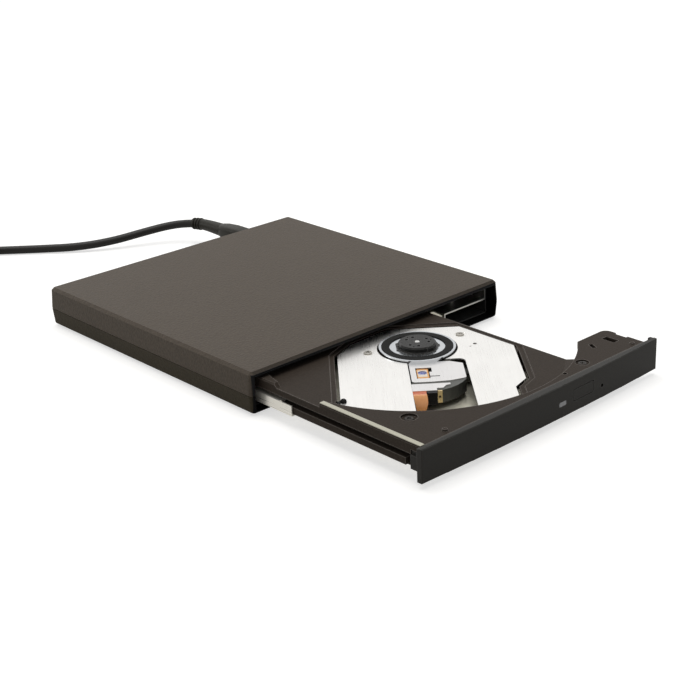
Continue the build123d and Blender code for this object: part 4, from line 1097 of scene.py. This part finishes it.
    def relief(self, lead: bpy.types.Object) -> bpy.types.Object:
        """The strain relief: a sleeve out of the grip that follows the lead's bend, with ribs at its end.

        Args:
            lead: The lead's curve.

        Returns:
            The sleeve's object.
        """
        x, z = self.plug_axis
        line = [Vector((x, self.sleeve_start, z)), *self.path(lead)]
        stations = [0.0]
        for a, b in zip(line, line[1:]):
            stations.append(stations[-1] + (b - a).length)
        steps = 130
        around = circle(32)
        rings = []
        for i in range(steps + 1):
            s = self.sleeve * i / steps
            k = max(j for j in range(len(line) - 1) if stations[j] <= s)
            centre = line[k].lerp(line[k + 1], (s - stations[k]) / (stations[k + 1] - stations[k]))
            ahead = (line[k + 1] - line[k]).normalized()
            across = ahead.cross(Vector((0.0, 0.0, 1.0))).normalized()
            up = across.cross(ahead)
            radius = self.radius_at(s)
            rings.append([tuple(centre + across * (radius * c) + up * (radius * s)) for c, s in around])
        made = finished(loft(rings), "relief_sleeve", Finish.PLUG, 50.0)
        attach(made, "case")
        return made

    def radius_at(self, along: float) -> float:
        """Radius of the sleeve at a distance from its start: a cone, then three ribs."""
        cone = self.sleeve_radius - self.sleeve_taper * (along / self.sleeve)
        left = self.sleeve - along
        if left > self.rib_length or left < self.end_collar:
            return cone
        wave = 0.5 - 0.5 * math.cos(FULL_TURN * self.rib_count * (self.rib_length - left) / self.rib_length)
        return cone - self.rib_groove + self.rib_height * min(1.0, wave * self.rib_flatness)

    def strap(self) -> bpy.types.Object:
        """The hook-and-loop strap that holds the spare turns."""
        low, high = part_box("cord_tie")
        _, width, height = (b - a - self.tie_thick for a, b in zip(low, high))
        x, y, z = ((a + b) / 2 for a, b in zip(low, high))
        outer = rounded_ring(width, height, height * self.tie_corner, 10)
        bm = bmesh.new()
        rows = [[bm.verts.new((place, y + a, z + b)) for a, b in outer] for place in (low[0], x, high[0])]
        stitch(bm, rows)
        made = finished(bm, "cord_strap", Finish.STRAP)
        thicken(made, self.tie_thick)
        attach(made, "case")
        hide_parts("cord_tie")
        return made


# Screws


@dataclass
class ScrewHeads:
    """Pan screws with a cross recess, flatter where asked, instanced where the solids have them."""

    name: str
    body: str
    nodes: tuple[str, ...]
    finish: Finish
    places: list[tuple[float, float, float, float]]
    slot: str = "screw_steel"
    down: bool = False
    flat: float = 1.0
    turn_step: float = 0.6

    def head(self) -> bpy.types.Object:
        """One screw head of radius 1 about the origin, its top up."""
        bm = bmesh.new()
        profile = ((0.93, -0.05), (1.0, 0.05), (0.98, 0.22), (0.88, 0.34))
        crown, recess_floor, recess_taper = 0.38, 0.02, 0.7
        arm, half = 0.56, 0.13
        rows = [[bm.verts.new((r * c, r * s, height)) for c, s in circle(28)] for r, height in profile]
        stitch(bm, rows)
        bm.faces.new(rows[0])
        cross = []
        for quarter in range(4):
            c, s = math.cos(math.pi / 2 * quarter), math.sin(math.pi / 2 * quarter)
            for px, py in ((arm, -half), (arm, half), (half, half)):
                cross.append((px * c - py * s, px * s + py * c))
        top = [bm.verts.new((px, py, crown)) for px, py in cross]
        floor = [bm.verts.new((px * recess_taper, py * recess_taper, recess_floor)) for px, py in cross]
        rim = [bm.edges.new((vert, top[(i + 1) % len(top)])) for i, vert in enumerate(top)]
        border = [e for e in bm.edges if all(v in rows[-1] for v in e.verts)]
        bmesh.ops.triangle_fill(bm, use_beauty=True, edges=rim + border)
        stitch(bm, [top, floor])
        bm.faces.new(floor)
        return linked(self.name + "_head", mesh_from(self.name + "_head", bm))

    def build(self) -> bpy.types.Object:
        """Instances the head at every place and returns the plain result."""
        head = self.head()
        bm = bmesh.new()
        for x, y, z, _ in self.places:
            bm.verts.new((x, y, z))
        carrier = bpy.data.meshes.new(self.name + "_places")
        bm.to_mesh(carrier)
        bm.free()
        radius = self.places[0][3]
        tree = NodeTree(self.name, {"Radius": radius, "Height": radius * self.flat, "Turn": self.turn_step})
        source = tree.add("GeometryNodeObjectInfo", {"transform_space": "ORIGINAL"}, {"Object": head})
        index = tree.add("GeometryNodeInputIndex")
        step = tree.start.outputs["Turn"]
        turn = tree.add("ShaderNodeMath", {"operation": "MULTIPLY"}, {0: index.outputs[0], 1: step})
        angle = tree.add(
            "ShaderNodeCombineXYZ", inputs={0: math.pi if self.down else 0.0, 1: 0.0, 2: turn.outputs[0]}
        )
        size = tree.start.outputs["Radius"]
        scale = tree.add("ShaderNodeCombineXYZ", inputs={0: size, 1: size, 2: tree.start.outputs["Height"]})
        spread = tree.add(
            "GeometryNodeInstanceOnPoints",
            inputs={
                "Points": tree.start.outputs[0],
                "Instance": source.outputs["Geometry"],
                "Rotation": angle.outputs[0],
                "Scale": scale.outputs[0],
            },
        )
        tree.close(spread.outputs[0], self.finish)
        made = tree.apply(carrier, self.name)
        bpy.data.objects.remove(head)
        shade_smooth(made.data, 35.0)
        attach(made, self.body)
        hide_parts(*self.nodes)
        log.info("%s: %d screws", self.name, len(self.places))
        return made


# The tray's small pieces


@dataclass
class FilmRibbon:
    """The orange film cable that hangs from the pickup's end and turns back beneath it."""

    left: float = -4.95
    right: float = -0.02
    thick: float = 0.00016
    across: tuple[float, ...] = (0.0, 0.02, 0.5, 0.98, 1.0)
    straight_above: float = 11.8
    fall: float = 5.5
    narrow_left: float = 1.1
    narrow_right: float = 0.7
    bow: float = 2.6
    bends: tuple[tuple[float, float], ...] = (
        (39.45, 11.86), (40.2, 11.87), (40.9, 11.84), (41.7, 11.4), (42.7, 10.3), (43.6, 8.9),
        (44.3, 7.3), (44.6, 6.2), (44.5, 5.4), (43.8, 5.1), (42.0, 5.05), (32.5, 5.05),
    )

    def centre_line(self) -> list[tuple[float, float]]:
        """The bend's points along the travel and up, smoothed."""
        fine: list[tuple[float, float]] = []
        for (a, b), (c, d) in zip(self.bends, self.bends[1:]):
            fine += [(a + (c - a) * i / 4, b + (d - b) * i / 4) for i in range(4)]
        for _ in range(3):
            inner = [
                ((p[0] + 2 * q[0] + r[0]) / 4, (p[1] + 2 * q[1] + r[1]) / 4)
                for p, q, r in zip(fine, fine[1:], fine[2:])
            ]
            fine = [fine[0], *inner, fine[-1]]
        return fine

    def sides(self, height: float) -> tuple[float, float]:
        """The ribbon's left and right border at a height, in millimetres across the travel."""
        drop = min(1.0, max(0.0, (self.straight_above - height) / self.fall))
        bow = self.bow * drop * (1.0 - drop)
        return self.left + self.narrow_left * drop, self.right + bow - self.narrow_right * drop

    def build(self) -> bpy.types.Object:
        """Sweeps the ribbon's section along its bend, narrower and bowed towards its low end."""
        fine = self.centre_line()
        bm = bmesh.new()
        rows = []
        for share in self.across:
            row = []
            for along, height in fine:
                left, right = self.sides(height)
                row.append(bm.verts.new((*travel_point(along, left + (right - left) * share), mm(height))))
            rows.append(row)
        stitch(bm, rows, closed=False)
        made = finished(bm, "film_ribbon", Finish.FILM, 60.0)
        thicken(made, self.thick)
        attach(made, "pickup")
        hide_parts("pickup_flex")
        return made


def add_screws() -> None:
    """Adds every visible screw head, in the places of the solids' screws."""
    top, under, radius = mm(14.5), mm(1.24), mm(1.88)
    tray = [
        (mm(-48.7), mm(-89.0), top - mm(0.9), mm(1.75)),
        (mm(27.6), mm(-103.0), top - mm(0.7), mm(1.75)),
    ]
    deck = [(*travel_point(*spot), mm(12.37), mm(1.65)) for spot in ((3.0, -19.2), (-11.2, 17.7))]
    shell = [(CASE_X + side * mm(59.85), mm(106.2), under, radius) for side in (-1, 1)]
    drive = [(side * mm(55.4), mm(y), under, radius) for side in (-1, 1) for y in (-0.1, 79.9)]
    black = Finish.BLACK_SCREW
    for heads in (
        ScrewHeads("tray_screw_heads", "tray", ("tray_screws",), black, tray, flat=0.8),
        ScrewHeads("deck_screw_heads", "tray", ("deck_screws",), Finish.SCREW, deck, flat=0.9),
        ScrewHeads("shell_screw_heads", "case", ("shell_screws",), black, shell, down=True, flat=0.5),
        ScrewHeads("mount_screw_heads", "case", ("drive_mount_screws",), black, drive, down=True, flat=0.5),
    ):
        heads.build()


def dress_solids(nodes: dict[str, bpy.types.Object]) -> None:
    """Gives every shown solid its finish.

    Args:
        nodes: The solids' objects by name.
    """
    for finish, names in NODE_FINISHES.items():
        for name in names:
            slots = nodes[name].data.materials
            for i in range(max(1, len(slots))):
                if i < len(slots):
                    slots[i] = finish.material()
                else:
                    slots.append(finish.material())


def main() -> None:
    """Builds the scene."""
    logging.basicConfig(level=logging.INFO, format="%(message)s")
    scene = bpy.context.scene
    for old in list(bpy.data.objects):
        bpy.data.objects.remove(old)
    scene.view_settings.view_transform = "Standard"
    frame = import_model()
    PhotoCamera().build()
    Lead().build()
    dress_solids(frame["nodes"])
    FilmRibbon().build()
    add_screws()
    Studio().build()
    log.info("sizes written")


if __name__ == "__main__":
    main()
